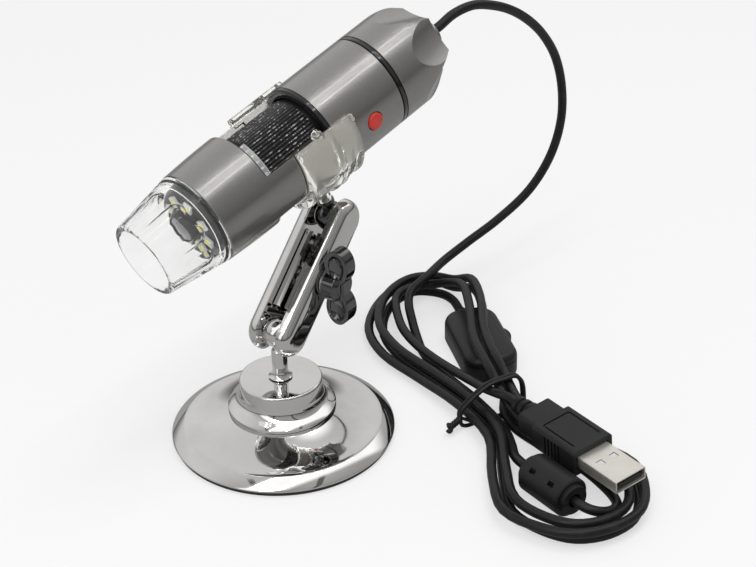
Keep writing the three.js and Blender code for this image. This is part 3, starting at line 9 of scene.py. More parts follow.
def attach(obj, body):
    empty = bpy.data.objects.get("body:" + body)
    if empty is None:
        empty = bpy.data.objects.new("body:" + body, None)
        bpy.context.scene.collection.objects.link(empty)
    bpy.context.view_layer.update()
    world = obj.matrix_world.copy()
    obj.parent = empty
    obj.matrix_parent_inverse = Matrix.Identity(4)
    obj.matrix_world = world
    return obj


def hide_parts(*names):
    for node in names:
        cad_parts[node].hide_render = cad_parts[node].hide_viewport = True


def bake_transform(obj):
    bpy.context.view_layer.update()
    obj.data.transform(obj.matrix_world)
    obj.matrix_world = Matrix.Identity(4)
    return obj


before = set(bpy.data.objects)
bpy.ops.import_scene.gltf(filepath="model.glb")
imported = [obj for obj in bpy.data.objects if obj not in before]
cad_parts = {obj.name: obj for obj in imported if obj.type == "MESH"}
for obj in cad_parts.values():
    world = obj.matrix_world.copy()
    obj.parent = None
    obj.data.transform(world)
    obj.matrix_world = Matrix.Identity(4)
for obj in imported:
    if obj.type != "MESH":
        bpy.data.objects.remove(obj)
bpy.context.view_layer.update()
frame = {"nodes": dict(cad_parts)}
scene = bpy.context.scene
scene.view_settings.view_transform = "Standard"
unit = 0.001                      # lengths below are in millimetres
fullTurn = 2 * math.pi
print("frame loaded")


# Places on the object
def frameAt(origin, xAxis, zAxis):
    x = Vector(xAxis).normalized()
    z = Vector(zAxis).normalized()
    turn = Matrix((x, z.cross(x), z)).transposed().to_4x4()
    return Matrix.Translation(Vector(origin) * unit) @ turn @ Matrix.Scale(unit, 4)


pose = {"lowerBall": 38.2, "armLength": 41.5, "armRise": 42.5, "armTurn": 13,
        "tubeRise": 17, "stemLength": 34, "holderPlace": 66.5, "tailEnd": 125.9}
armRise, armTurn, tubeRise = (math.radians(pose[k]) for k in ("armRise", "armTurn", "tubeRise"))
lowerBall = Vector((0, 0, pose["lowerBall"]))
armAxis = Vector((math.cos(armRise) * math.cos(armTurn), math.cos(armRise) * math.sin(armTurn), math.sin(armRise)))
armSide = Vector((math.sin(armTurn), -math.cos(armTurn), 0))
tubeAxis = Vector((math.cos(tubeRise), 0, math.sin(tubeRise)))
tubeUp = Vector((-math.sin(tubeRise), 0, math.cos(tubeRise)))
upperBall = lowerBall + armAxis * pose["armLength"]
noseMouth = upperBall + tubeUp * pose["stemLength"] - tubeAxis * pose["holderPlace"]
rowFrame = Matrix.Scale(unit, 4)
armFrame = frameAt(lowerBall, armAxis, armSide)
knobFrame = frameAt(lowerBall + armAxis * pose["armLength"] / 2, (0, 0, 1), armSide)
tubeFrame = frameAt(noseMouth, tubeUp, tubeAxis)

hank = {"x": 53, "y": -44, "heading": 16, "top": 91, "bottom": -74, "topPitch": 6.4, "bottomPitch": 4.1,
        "pitch": 3.95, "upperSpread": 0.06, "lowerSpread": 0.1, "waist": 9.1, "upperWidth": 32,
        "lowerWidth": 34, "bow": 11.5, "bowReach": 75, "upperRound": 0.92, "lowerRound": 0.78,
        "reverse": 1.75, "steps": 24, "firstStep": 12, "lastStep": 82, "layer": 4, "floor": 1.7,
        "waistLift": 1.1, "lift": 9.9}


def hankPoint(along, across, height):
    turn = math.radians(hank["heading"])
    return Vector((hank["x"] + along * math.sin(turn) + across * math.cos(turn),
                   hank["y"] + along * math.cos(turn) - across * math.sin(turn), height))


def hankFrame(along, across, turn, height):
    heading = math.radians(90 - hank["heading"] - turn)
    return frameAt(hankPoint(along, across, height), (math.cos(heading), math.sin(heading), 0), (0, 0, 1))


plug = {"place": (48, -92.2, 13.2), "heading": -96.4, "pitch": 0.5, "roll": 4,
        "width": 15.8, "height": 9, "length": 28, "rear": 0.84, "corner": 1.3, "reliefRadius": 3.5,
        "reliefTip": 2.4, "reliefLength": 9, "reliefRibs": 3, "shellWidth": 12, "shellHeight": 4.5,
        "shellLength": 17, "sunk": 1.7, "sheet": 0.4, "window": 2.3, "windowSpacing": 5.4, "windowPlace": 6.5,
        "tongueWidth": 10.4, "tongueHeight": 1.8, "panelLength": 15, "panelWidth": 11.2, "panelPlace": -10}
plugAxis = Matrix.Rotation(math.radians(plug["heading"]), 3, "Z") @ (
    Matrix.Rotation(math.radians(-plug["pitch"]), 3, "Y") @ Vector((1, 0, 0)))
plugUp = Vector((0, 0, 1)) - plugAxis * plugAxis.z
plugUp = Matrix.Rotation(math.radians(plug["roll"]), 3, plugAxis) @ plugUp.normalized()
plugFrame = frameAt(plug["place"], plugAxis, plugUp)
plugCordEnd = Vector(plug["place"]) - plugAxis * (plug["length"] + plug["reliefLength"] + 0.6)

# Camera, at the photograph's place and angle
camera = {"distance": 620, "rise": 35, "heading": 38.2, "yaw": 0.055, "pitch": 0.075, "roll": -1.62,
          "focalPixels": 1875, "imageWidth": 756, "sensor": 36}


def addCamera():
    rise = math.radians(camera["rise"])
    place = Vector((0, -camera["distance"] * math.cos(rise), camera["distance"] * math.sin(rise)))
    look = Vector((0, math.cos(rise), -math.sin(rise)))
    right = Vector((1, 0, 0))
    look = (look + right * camera["yaw"] + right.cross(look) * camera["pitch"]).normalized()
    right = look.cross(Vector((0, 0, 1))).normalized()
    up = right.cross(look)
    roll = math.radians(camera["roll"])
    right, up = math.cos(roll) * right + math.sin(roll) * up, math.cos(roll) * up - math.sin(roll) * right
    turn = Matrix.Rotation(-math.radians(camera["heading"]), 3, "Z")
    axes = Matrix([turn @ axis for axis in (right, up, -look)]).transposed()
    data = bpy.data.cameras.new("camera")
    data.sensor_width = camera["sensor"]
    data.sensor_fit = "HORIZONTAL"
    data.lens = camera["focalPixels"] / camera["imageWidth"] * camera["sensor"]
    data.clip_start = 0.01
    data.clip_end = 20
    obj = bpy.data.objects.new("camera", data)
    scene.collection.objects.link(obj)
    obj.matrix_world = Matrix.Translation(turn @ place * unit) @ axes.to_4x4()
    scene.camera = obj


addCamera()
print("camera placed")


# Shader maths: a channel is a socket that adds, subtracts and multiplies
class Channel:
    def __init__(self, finish, socket):
        self.finish = finish
        self.socket = socket

    def calculate(self, operation, first, second):
        return self.finish.node("ShaderNodeMath", {"operation": operation}, [first, second])

    def __add__(self, other):
        return self.calculate("ADD", self, other)

    def __radd__(self, other):
        return self.calculate("ADD", other, self)

    def __sub__(self, other):
        return self.calculate("SUBTRACT", self, other)

    def __rsub__(self, other):
        return self.calculate("SUBTRACT", other, self)

    def __mul__(self, other):
        return self.calculate("MULTIPLY", self, other)

    def __rmul__(self, other):
        return self.calculate("MULTIPLY", other, self)


class Recipe:
    def __init__(self, tree):
        self.tree = tree

    def feed(self, socket, value):
        if isinstance(value, Channel):
            self.tree.links.new(value.socket, socket)
        else:
            socket.default_value = value

    def node(self, kind, settings=None, values=(), output=0):
        made = self.tree.nodes.new(kind)
        for key, value in (settings or {}).items():
            if key != "stops":
                setattr(made, key, value)
                continue
            while len(made.color_ramp.elements) < len(value):
                made.color_ramp.elements.new(1)
            for element, (position, color) in zip(made.color_ramp.elements, value):
                element.position = position
                element.color = color
        pairs = values.items() if isinstance(values, dict) else enumerate(values)
        for key, value in pairs:
            self.feed(made.inputs[key], value)
        return Channel(self, made.outputs[output])

    def ranged(self, value, low, high, toLow=0.0, toHigh=1.0):
        return self.node("ShaderNodeMapRange", {"interpolation_type": "SMOOTHSTEP"},
                         {"Value": value, "From Min": low, "From Max": high, "To Min": toLow, "To Max": toHigh})


class Finish(Recipe):
    def __init__(self, name, **sockets):
        self.material = bpy.data.materials.new(name)
        self.material.use_nodes = True
        super().__init__(self.material.node_tree)
        self.shader = self.tree.nodes["Principled BSDF"]
        self.place = self.node("ShaderNodeTexCoord", output="Object")
        for key, value in sockets.items():
            self.give(key.replace("_", " "), value)

    def give(self, socket, value):
        self.feed(self.shader.inputs[socket], value)

    def noise(self, scale, detail=2, roughness=0.5, place=None):
        return self.node("ShaderNodeTexNoise", None,
                         {"Vector": place or self.place, "Scale": scale, "Detail": detail, "Roughness": roughness})

    def stretched(self, scale, turn=(0, 0, 0)):
        return self.node("ShaderNodeMapping", None, {"Vector": self.place, "Rotation": turn, "Scale": scale})

    def mixed(self, factor, first, second):
        return self.node("ShaderNodeMix", {"data_type": "RGBA"}, {0: factor, 6: first, 7: second}, output=2)

    def bump(self, height, strength, distance):
        self.give("Normal", self.node("ShaderNodeBump", None,
                                      {"Height": height, "Strength": strength, "Distance": distance * unit}))


def grey(level, warmth=0.0):
    return (level * (1 + warmth), level, level * (1 - warmth), 1)


finishes = {}


def greyLacquer():                # metallic lacquer with a fine flake
    f = Finish("grey_lacquer", Metallic=0.9, Coat_Weight=0.8, Coat_Roughness=0.03)
    flake = f.noise(7000, 1)
    cloud = f.noise(40, 3)
    base = f.mixed(f.ranged(flake, 0.35, 0.65), grey(0.27, 0.035), grey(0.355, 0.03))
    f.give("Base Color", f.mixed(f.ranged(cloud, 0.35, 0.7) * 0.2, base, grey(0.25, 0.03)))
    f.give("Roughness", f.ranged(cloud, 0.3, 0.7, 0.27, 0.33) + flake * 0.05)
    f.bump(flake, 0.05, 0.02)
    return f


def chromePlate():
    f = Finish("chrome_plate", Metallic=1.0)
    smudge = f.noise(55, 4, 0.6)
    hair = f.noise(900, 2, 0.5, f.stretched((1, 9, 1), (0, 0, 0.6)))
    f.give("Base Color", f.mixed(f.ranged(smudge, 0.4, 0.7), grey(0.72, 0.015), grey(0.66, 0.02)))
    f.give("Roughness", f.ranged(smudge, 0.4, 0.75, 0.04, 0.09) + f.ranged(hair, 0.6, 0.75) * 0.05)
    f.bump(f.noise(160, 1), 0.04, 0.05)
    return f


def smokedChrome():
    f = Finish("smoked_chrome", Metallic=1.0)
    smudge = f.noise(80, 4, 0.6)
    f.give("Base Color", f.mixed(f.ranged(smudge, 0.35, 0.7), grey(0.16), grey(0.11)))
    f.give("Roughness", f.ranged(smudge, 0.35, 0.7, 0.1, 0.18))
    f.bump(f.noise(500, 2), 0.05, 0.04)
    return f


def machinedSteel(name, color, rough):
    f = Finish(name, Metallic=1.0)
    turn = f.noise(2500, 2, 0.5, f.stretched((1, 1, 6)))
    f.give("Base Color", f.mixed(turn, grey(color), grey(color * 0.8)))
    f.give("Roughness", f.ranged(turn, 0.3, 0.7, rough, rough + 0.12))
    f.bump(turn, 0.08, 0.03)
    return f


def castIron():
    f = Finish("cast_iron", Metallic=0.6)
    grain = f.noise(1400, 4, 0.65)
    rust = f.noise(120, 3)
    f.give("Base Color", f.mixed(f.ranged(rust, 0.5, 0.72), grey(0.06), (0.11, 0.065, 0.045, 1)))
    f.give("Roughness", f.ranged(grain, 0.3, 0.7, 0.6, 0.85))
    f.bump(grain, 0.5, 0.15)
    return f


def brass():
    f = Finish("brass", Metallic=1.0)
    tarnish = f.noise(300, 3)
    f.give("Base Color", f.mixed(f.ranged(tarnish, 0.4, 0.7), (0.68, 0.5, 0.2, 1), (0.5, 0.36, 0.16, 1)))
    f.give("Roughness", f.ranged(tarnish, 0.35, 0.7, 0.3, 0.45))
    f.bump(tarnish, 0.06, 0.03)
    return f


def mouldedBlack(name, level, rough, grainSize, grainStrength, coat=0.0):
    f = Finish(name, Coat_Weight=coat, Coat_Roughness=0.08, Specular_IOR_Level=0.36)
    grain = f.noise(1000 / grainSize, 2, 0.55)
    cloud = f.noise(70, 3)
    f.give("Base Color", f.mixed(f.ranged(cloud, 0.35, 0.7), grey(level), grey(level * 1.35, -0.02)))
    f.give("Roughness", f.ranged(cloud, 0.3, 0.7, rough, rough + 0.08) + f.ranged(grain, 0.4, 0.7) * 0.06)
    f.bump(grain, grainStrength, 0.04)
    return f


def cordSheath():
    f = Finish("cord_sheath", Specular_IOR_Level=0.32)
    scuff = f.noise(220, 4, 0.6)
    grain = f.noise(4200, 2)
    f.give("Base Color", f.mixed(f.ranged(scuff, 0.45, 0.75), grey(0.009, -0.02), grey(0.017, -0.01)))
    f.give("Roughness", f.ranged(scuff, 0.35, 0.7, 0.33, 0.45))
    f.bump(grain + scuff * 0.6, 0.12, 0.04)
    return f


def rubberPad():
    f = Finish("pad_rubber")
    cell = f.node("ShaderNodeTexVoronoi", None, {"Vector": f.place, "Scale": 2200})
    f.give("Base Color", f.mixed(f.ranged(cell, 0.1, 0.5), grey(0.012), grey(0.03)))
    f.give("Roughness", f.ranged(cell, 0.1, 0.6, 0.7, 0.9))
    f.bump(cell, 0.5, 0.1)
    return f


def clearPlastic(name, tint, rough, clearness, bend):
    f = Finish(name, Transmission_Weight=clearness, IOR=bend)
    haze = f.noise(90, 3)
    f.give("Base Color", f.mixed(f.ranged(haze, 0.4, 0.7), tint, (tint[0] * 0.98, tint[1] * 0.98, tint[2] * 0.97, 1)))
    f.give("Roughness", f.ranged(haze, 0.4, 0.75, rough, rough + 0.05))
    f.bump(f.noise(240, 1), 0.04, 0.05)
    return f


def silverFilm():
    f = Finish("silver_film", Metallic=0.35)
    brushed = f.noise(3000, 2, 0.5, f.stretched((8, 1, 1)))
    f.give("Base Color", f.mixed(brushed, grey(0.34), grey(0.27)))
    f.give("Roughness", f.ranged(brushed, 0.3, 0.7, 0.32, 0.42))
    f.bump(brushed, 0.05, 0.02)
    return f


def printedInk():
    f = Finish("printed_ink")
    speck = f.noise(9000, 1)
    f.give("Base Color", f.mixed(f.ranged(speck, 0.5, 0.7), grey(0.85), grey(0.7)))
    f.give("Roughness", f.ranged(speck, 0.3, 0.7, 0.45, 0.6))
    return f


def redPlastic():
    f = Finish("red_plastic", Coat_Weight=0.1, Coat_Roughness=0.2)
    grain = f.noise(3500, 2)
    cloud = f.noise(150, 2)
    f.give("Base Color", f.mixed(f.ranged(cloud, 0.35, 0.7), (0.6, 0.035, 0.022, 1), (0.5, 0.03, 0.02, 1)))
    f.give("Roughness", f.ranged(grain, 0.3, 0.7, 0.34, 0.44))
    f.bump(grain, 0.08, 0.03)
    return f


def phosphor():
    f = Finish("led_phosphor")
    grain = f.noise(5000, 2)
    f.give("Base Color", f.mixed(grain, (0.78, 0.7, 0.13, 1), (0.86, 0.8, 0.28, 1)))
    f.give("Roughness", f.ranged(grain, 0.3, 0.7, 0.35, 0.55))
    f.bump(grain, 0.15, 0.03)
    return f


def ledCeramic():
    f = Finish("led_ceramic")
    grain = f.noise(4000, 2)
    f.give("Base Color", f.mixed(grain, grey(0.75), grey(0.66)))
    f.give("Roughness", f.ranged(grain, 0.3, 0.7, 0.4, 0.55))
    return f


def greenBoard():                 # solder mask over faint tracks
    f = Finish("green_board", Coat_Weight=0.3)
    track = f.node("ShaderNodeTexBrick", {"offset": 0.35}, {"Vector": f.place, "Scale": 420, "Mortar Size": 0.06})
    weave = f.noise(1500, 2)
    dark = f.mixed(weave, (0.008, 0.09, 0.035, 1), (0.012, 0.13, 0.05, 1))
    f.give("Base Color", f.mixed(f.ranged(f.node("ShaderNodeRGBToBW", None, [track]), 0.05, 0.3), dark,
                                 (0.02, 0.19, 0.08, 1)))
    f.give("Roughness", f.ranged(weave, 0.3, 0.7, 0.3, 0.42))
    f.bump(weave, 0.1, 0.03)
    return f


def chipBlack():
    f = Finish("chip_black", Coat_Weight=0.6)
    film = f.noise(600, 2)
    f.give("Base Color", f.mixed(film, (0.01, 0.01, 0.02, 1), (0.03, 0.015, 0.035, 1)))
    f.give("Roughness", f.ranged(film, 0.3, 0.7, 0.08, 0.16))
    return f


def lensGlass():                  # coated lens, dark with a violet bloom
    f = Finish("lens_glass", Coat_Weight=1.0, Coat_Roughness=0.02, IOR=1.6)
    bloom = f.noise(260, 2)
    f.give("Base Color", f.mixed(f.ranged(bloom, 0.35, 0.65), (0.015, 0.014, 0.03, 1), (0.05, 0.03, 0.075, 1)))
    f.give("Roughness", f.ranged(bloom, 0.3, 0.7, 0.03, 0.07))
    return f


def nickelSheet():
    f = Finish("nickel_sheet", Metallic=0.85)
    rolled = f.noise(1400, 3, 0.5, f.stretched((1, 7, 1)))
    stain = f.noise(110, 3)
    f.give("Base Color", f.mixed(f.ranged(stain, 0.4, 0.7), (0.86, 0.84, 0.77, 1), (0.82, 0.79, 0.72, 1)))
    f.give("Roughness", f.ranged(rolled, 0.3, 0.7, 0.34, 0.39))
    f.bump(rolled, 0.02, 0.005)
    return f


def drumBlack():                  # ribbed grip whose crests are worn to pale flecks
    f = Finish("drum_black")
    crest = f.node("ShaderNodeAttribute", {"attribute_name": "crest"}, output="Fac")
    along = f.node("ShaderNodeAttribute", {"attribute_name": "along"}, output="Fac")
    rib = f.node("ShaderNodeAttribute", {"attribute_name": "rib"}, output="Fac")
    path = f.node("ShaderNodeCombineXYZ", None, [along, rib * 3.7, rib * 1.3])
    fleck = f.noise(0.75, 4, 0.75, path)
    worn = f.ranged(crest, 0.75, 1.0) * f.ranged(fleck, 0.52, 0.6)
    f.give("Base Color", f.mixed(worn, grey(0.008), grey(0.5)))
    f.give("Roughness", f.ranged(fleck, 0.3, 0.7, 0.3, 0.42) + worn * 0.2)
    f.bump(fleck * worn, 0.1, 0.03)
    return f


finishes.update(
    lacquer=greyLacquer(), chrome=chromePlate(), smoked=smokedChrome(),
    steel=machinedSteel("machined_steel", 0.6, 0.25), iron=castIron(), brass=brass(),
    gloss=mouldedBlack("gloss_black", 0.008, 0.07, 1.2, 0.02, 0.8),
    satin=mouldedBlack("satin_black", 0.009, 0.34, 0.22, 0.12),
    matte=mouldedBlack("matte_black", 0.011, 0.42, 0.18, 0.2),
    sheath=cordSheath(), rubber=rubberPad(),
    clear=clearPlastic("clear_cap", (0.985, 0.99, 0.987, 1), 0.01, 0.97, 1.24),
    clip=clearPlastic("clear_clip", (0.99, 0.985, 0.94, 1), 0.02, 0.93, 1.33),
    film=silverFilm(), ink=printedInk(), red=redPlastic(), phosphor=phosphor(), ceramic=ledCeramic(),
    board=greenBoard(), chip=chipBlack(), glass=lensGlass(), nickel=nickelSheet(), drum=drumBlack())
print("finishes made", len(finishes))


# Mesh helpers
def turned(profile, steps=96, closed=True):
    bm = bmesh.new()
    verts = [bm.verts.new((radius, 0, height)) for radius, height in profile]
    pairs = list(zip(verts, verts[1:]))
    if closed:
        pairs.append((verts[-1], verts[0]))
    edges = [bm.edges.new(pair) for pair in pairs]
    bmesh.ops.spin(bm, geom=verts + edges, cent=(0, 0, 0), axis=(0, 0, 1), angle=fullTurn, steps=steps,
                   use_merge=True)
    return tidied(bm)


def tidied(bm):
    bmesh.ops.remove_doubles(bm, verts=bm.verts, dist=1e-4)
    bmesh.ops.dissolve_degenerate(bm, edges=bm.edges, dist=1e-5)
    bmesh.ops.recalc_face_normals(bm, faces=bm.faces)
    return bm


def moved(bm, offset=(0, 0, 0), turn=None):
    if turn:
        bmesh.ops.rotate(bm, cent=(0, 0, 0), matrix=Matrix.Rotation(math.radians(turn[1]), 3, turn[0]), verts=bm.verts)
    bmesh.ops.translate(bm, vec=offset, verts=bm.verts)
    return bm


def solidBar(radius, start, end, steps=48):
    return turned([(0, start), (radius, start), (radius, end), (0, end)], steps, closed=False)


def sleeve(inner, outer, start, end, steps=96):
    return turned([(inner, start), (outer, start), (outer, end), (inner, end)], steps)


def arcBlock(inner, outer, start, end, fromAngle, toAngle, steps=32):
    bm = bmesh.new()
    corners = [bm.verts.new((radius, 0, height))
               for radius, height in ((inner, start), (outer, start), (outer, end), (inner, end))]
    face = bm.faces.new(corners)
    bmesh.ops.rotate(bm, cent=(0, 0, 0), matrix=Matrix.Rotation(math.radians(fromAngle), 3, "Z"), verts=bm.verts)
    bmesh.ops.spin(bm, geom=corners + list(face.edges) + [face], cent=(0, 0, 0), axis=(0, 0, 1),
                   angle=math.radians(toAngle - fromAngle), steps=steps)
    return tidied(bm)


def block(size, centre=(0, 0, 0), corner=0.0, edge=0.0, segments=5, axis=2):
    bm = bmesh.new()
    bmesh.ops.create_cube(bm, size=1)
    bmesh.ops.scale(bm, vec=size, verts=bm.verts)
    if corner:
        upright = [e for e in bm.edges if abs((e.verts[0].co - e.verts[1].co)[axis]) > size[axis] * 0.9]
        bmesh.ops.bevel(bm, geom=upright, offset=corner, segments=segments, profile=0.5, affect="EDGES", material=-1)
    if edge:
        rims = [e for e in bm.edges if e.calc_face_angle(0) > math.radians(50)]
        bmesh.ops.bevel(bm, geom=rims, offset=edge, segments=3, profile=0.5, affect="EDGES", material=-1)
    return moved(bm, centre)


def prism(outline, start, end):
    bm = bmesh.new()
    face = bm.faces.new([bm.verts.new((x, y, start)) for x, y in outline])
    grown = bmesh.ops.extrude_face_region(bm, geom=[face])
    tops = [v for v in grown["geom"] if isinstance(v, bmesh.types.BMVert)]
    bmesh.ops.translate(bm, vec=(0, 0, end - start), verts=tops)
    return tidied(bm)


def ellipsoid(radii, centre=(0, 0, 0), steps=40):
    bm = bmesh.new()
    bmesh.ops.create_uvsphere(bm, u_segments=steps, v_segments=steps // 2, radius=1)
    bmesh.ops.scale(bm, vec=radii, verts=bm.verts)
    return moved(bm, centre)


def added(bm, part):              # puts one bmesh into another
    mesh = bpy.data.meshes.new("part")
    part.to_mesh(mesh)
    part.free()
    bm.from_mesh(mesh)
    bpy.data.meshes.remove(mesh)


def looseObject(bm, name="tool"):
    mesh = bpy.data.meshes.new(name)
    bm.to_mesh(mesh)
    bm.free()
    obj = bpy.data.objects.new(name, mesh)
    scene.collection.objects.link(obj)
    return obj


def meshOf(obj):                  # the mesh with its modifiers, back as a bmesh, and the object removed
    graph = bpy.context.evaluated_depsgraph_get()
    mesh = bpy.data.meshes.new_from_object(obj.evaluated_get(graph))
    bm = bmesh.new()
    bm.from_mesh(mesh)
    bpy.data.meshes.remove(mesh)
    bpy.data.meshes.remove(obj.data)
    return bm


def shaped(base, *changes):       # each change is UNION, DIFFERENCE or INTERSECT with another bmesh
    target = looseObject(base)
    tools = []
    for operation, bm in changes:
        tool = looseObject(bm)
        tools.append(tool)
        change = target.modifiers.new("change", "BOOLEAN")
        change.operation = operation
        change.object = tool
    bm = meshOf(target)
    for tool in tools:
        bpy.data.meshes.remove(tool.data)
    return bm


def softened(bm, voxel, rounds):  # melts joined shapes into one cast form
    target = looseObject(bm)
    remesh = target.modifiers.new("remesh", "REMESH")
    remesh.mode = "VOXEL"
    remesh.voxel_size = voxel
    smooth = target.modifiers.new("smooth", "SMOOTH")
    smooth.iterations = rounds
    smooth.factor = 0.6
    return meshOf(target)


def addPiece(name, bm, at, body, nodes, slotName, *finishNames, edge=0.0, segments=2, angle=35):
    bmesh.ops.transform(bm, matrix=at, verts=bm.verts)
    obj = looseObject(bm, name)
    for finishName in finishNames:
        obj.data.materials.append(finishes[finishName].material)
    obj.data.shade_smooth()
    obj.data.set_sharp_from_angle(angle=math.radians(angle))
    if edge:
        bevel = obj.modifiers.new("edge", "BEVEL")
        bevel.width = edge * unit
        bevel.segments = segments
        bevel.limit_method = "ANGLE"
        bevel.angle_limit = math.radians(angle)
        bevel.harden_normals = True
    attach(obj, body)
    if nodes:
        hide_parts(*nodes)
    return obj


# Cords: points are in row millimetres, and the line through them is a centripetal spline
def splinePoints(points, perSpan=8):
    points = [Vector(p) for p in points]
    ends = [points[0] * 2 - points[1], *points, points[-1] * 2 - points[-2]]
    line = []
    for a, b, c, d in zip(ends, ends[1:], ends[2:], ends[3:]):
        first, span, last = ((q - p).length ** 0.5 for p, q in ((a, b), (b, c), (c, d)))
        leave = ((b - a) / first - (c - a) / (first + span) + (c - b) / span) * span
        arrive = ((c - b) / span - (d - b) / (span + last) + (d - c) / last) * span
        for step in range(perSpan):
            t = step / perSpan
            line.append(b + leave * t + (3 * (c - b) - 2 * leave - arrive) * t ** 2
                        + (2 * (b - c) + leave + arrive) * t ** 3)
    return [*line, points[-1]]


def lineLength(line):
    return sum((b - a).length for a, b in zip(line, line[1:]))


def tubeMesh(name, line, radius, resolution=5):
    curve = bpy.data.curves.new(name, "CURVE")
    curve.dimensions = "3D"
    curve.bevel_depth = radius * unit
    curve.bevel_resolution = resolution
    curve.use_fill_caps = True
    curve.twist_mode = "MINIMUM"
    spline = curve.splines.new("POLY")
    spline.points.add(len(line) - 1)
    for point, place in zip(spline.points, line):
        point.co = (*(place * unit), 1)
    source = bpy.data.objects.new(name, curve)
    scene.collection.objects.link(source)
    graph = bpy.context.evaluated_depsgraph_get()
    mesh = bpy.data.meshes.new_from_object(source.evaluated_get(graph))
    bpy.data.objects.remove(source)
    bpy.data.curves.remove(curve)
    mesh.shade_smooth()
    mesh.set_sharp_from_angle(angle=math.radians(50))
    mesh.materials.append(finishes["sheath"].material)
    obj = bpy.data.objects.new(name, mesh)
    scene.collection.objects.link(obj)
    return obj


cord = {"radius": 1.6, "leadShares": (0.165, 0.33, 0.495, 0.75, 1),
        "lead": [(86, 7, 119.2), (95, 7, 119.6), (105, 7.2, 116.5), (114, 7.6, 112), (123, 8, 105.5),
                 (131, 8.5, 97.5), (138, 9, 87), (142.4, 9.6, 74), (143.6, 10.6, 60), (140.6, 12.6, 46),
                 (133.4, 16, 33.5), (122.5, 21, 23.6), (111, 25.6, 16.5), (101.5, 28.2, 11.6)],
        "leadEnd": (76.2, 13.4, 9.6), "leadEndRun": (75.2, 10.4, 8.8),
        "inner": [(73, 7.2, 7.6), (69.2, 5, 6), (63, 3, 3.8), (55, 0.6, 2.2), (45, -2, 1.7), (34, -2.6, 1.7),
                  (22, -1.6, 1.9), (12, -1, 2.5), (4, -0.8, 2.8), (-4, -0.8, 2.8), (-12, -1.5, 2.5),
                  (-19.5, -4, 3.2), (-27, -7.2, 5)],
        "outer": [(-62.4, -2.4, 6.3), (-64.2, -0.2, 5.7), (-64.8, 2.9, 4.8), (-63.9, 6, 4), (-61.6, 8.7, 3.1),
                  (-57, 10.5, 2.4), (-48, 11.2, 1.8), (-39, 10.4, 1.7), (-29.5, 8, 1.7), (-20, 4.8, 1.8),
                  (-11, 2.6, 2.3), (-6, 2.8, 2.6), (-1, 3.9, 2.8), (4, 6.8, 2.8)],
        "hankStart": [(70.2, 23.4, 2.3), (75.6, 22.7, 1.9), (80.2, 19.4, 1.7)],
        "hankEnd": [(76.6, 20.4, 6.7), (79.2, 16.6, 6), (79.8, 12, 5.8)],
        "plugRun": [(79.2, 7, 5.7), (76.8, 4, 5.7), (73.2, 1.7, 5.7), (66, -1.2, 5.7), (56, -4, 5.7),
                    (44, -4.6, 5.8), (32, -3.4, 6.2), (20, -1.8, 7.4), (10, -1.2, 9.4), (3, -1.4, 11.4),
                    (-3.6, -0.2, 12.8)]}


def beside(along, across, turn, distance, height):
    return hankPoint(along + distance * math.cos(math.radians(turn)),
                     across + distance * math.sin(math.radians(turn)), height)


def besideDimmer(distance):
    return beside(36.7, 16.1, 12.6, distance, 2.9)


def besideFerrite(distance):
    return beside(-47.5, -6, 170, distance, 6.8)


def stepped(value, low, high):
    share = min(max((value - low) / (high - low), 0), 1)
    return share * share * (3 - 2 * share)


def risen(value, low, high):
    share = min(max((value - low) / (high - low), 0), 1)
    return (1 - math.cos(math.pi * share)) / 2


def liftAt(along):                # the right run passes over the light control
    return hank["lift"] * risen(along, -12, 16) * (1 - risen(along, 54, 82))


def hankAt(turn):
    inward = abs(turn - hank["reverse"])
    top = hank["top"] - hank["topPitch"] * inward
    bottom = hank["bottom"] + hank["bottomPitch"] * inward
    angle = fullTurn * turn
    along = (top + bottom) / 2 - (top - bottom) / 2 * math.cos(angle)
    upper = stepped(along, 8, 78) * (hank["upperWidth"] - hank["waist"])
    lower = stepped(-along, 10, 56) * (hank["lowerWidth"] - hank["waist"])
    pitch = hank["pitch"] + hank["upperSpread"] * upper + hank["lowerSpread"] * lower
    swing = math.sin(angle)
    round_ = hank["lowerRound"] if along < 0 else hank["upperRound"]
    shape = math.copysign(abs(swing) ** round_, swing)
    bow = hank["bow"] * (max(along, 0) / hank["bowReach"]) ** 2
    across = bow + (hank["waist"] + upper + lower - inward * pitch) * shape
    lifted = 1 if swing > 0 else 0
    slope = lifted * (liftAt(along + 0.5) - liftAt(along - 0.5))
    layer = hank["layer"] * math.sqrt(1 + slope ** 2) * stepped(turn, 1.5, 2)
    waist = hank["waistLift"] * (1 - stepped(abs(along), 4, 22))
    return hankPoint(along, across, hank["floor"] + waist + lifted * liftAt(along) + layer)


leadStart = noseMouth + tubeAxis * pose["tailEnd"]
leadEnd, leadEndRun = hankPoint(*cord["leadEnd"]), hankPoint(*cord["leadEndRun"])
leadLine = splinePoints([leadStart, leadStart + tubeAxis * 3.2, *cord["lead"], leadEnd * 2 - leadEndRun, leadEnd], 12)
runStart = leadEnd.lerp(leadEndRun, 0.02)
runLine = splinePoints([runStart, leadEndRun, *(hankPoint(*p) for p in cord["inner"]),
                        besideFerrite(-13.7), besideFerrite(-10.5), besideFerrite(10.5), besideFerrite(12.1),
                        *(hankPoint(*p) for p in cord["outer"]), besideDimmer(-28.5), besideDimmer(-25.3)])
hankRoute = [besideDimmer(25.3), besideDimmer(28.5), *(hankPoint(*p) for p in cord["hankStart"]),
             *(hankAt(step / hank["steps"]) for step in range(hank["firstStep"], hank["lastStep"] + 1)),
             *(hankPoint(*p) for p in cord["hankEnd"])]
hankLine = splinePoints(hankRoute, 4)
hankRun = (hankRoute[-1] - hankRoute[-2]).normalized()
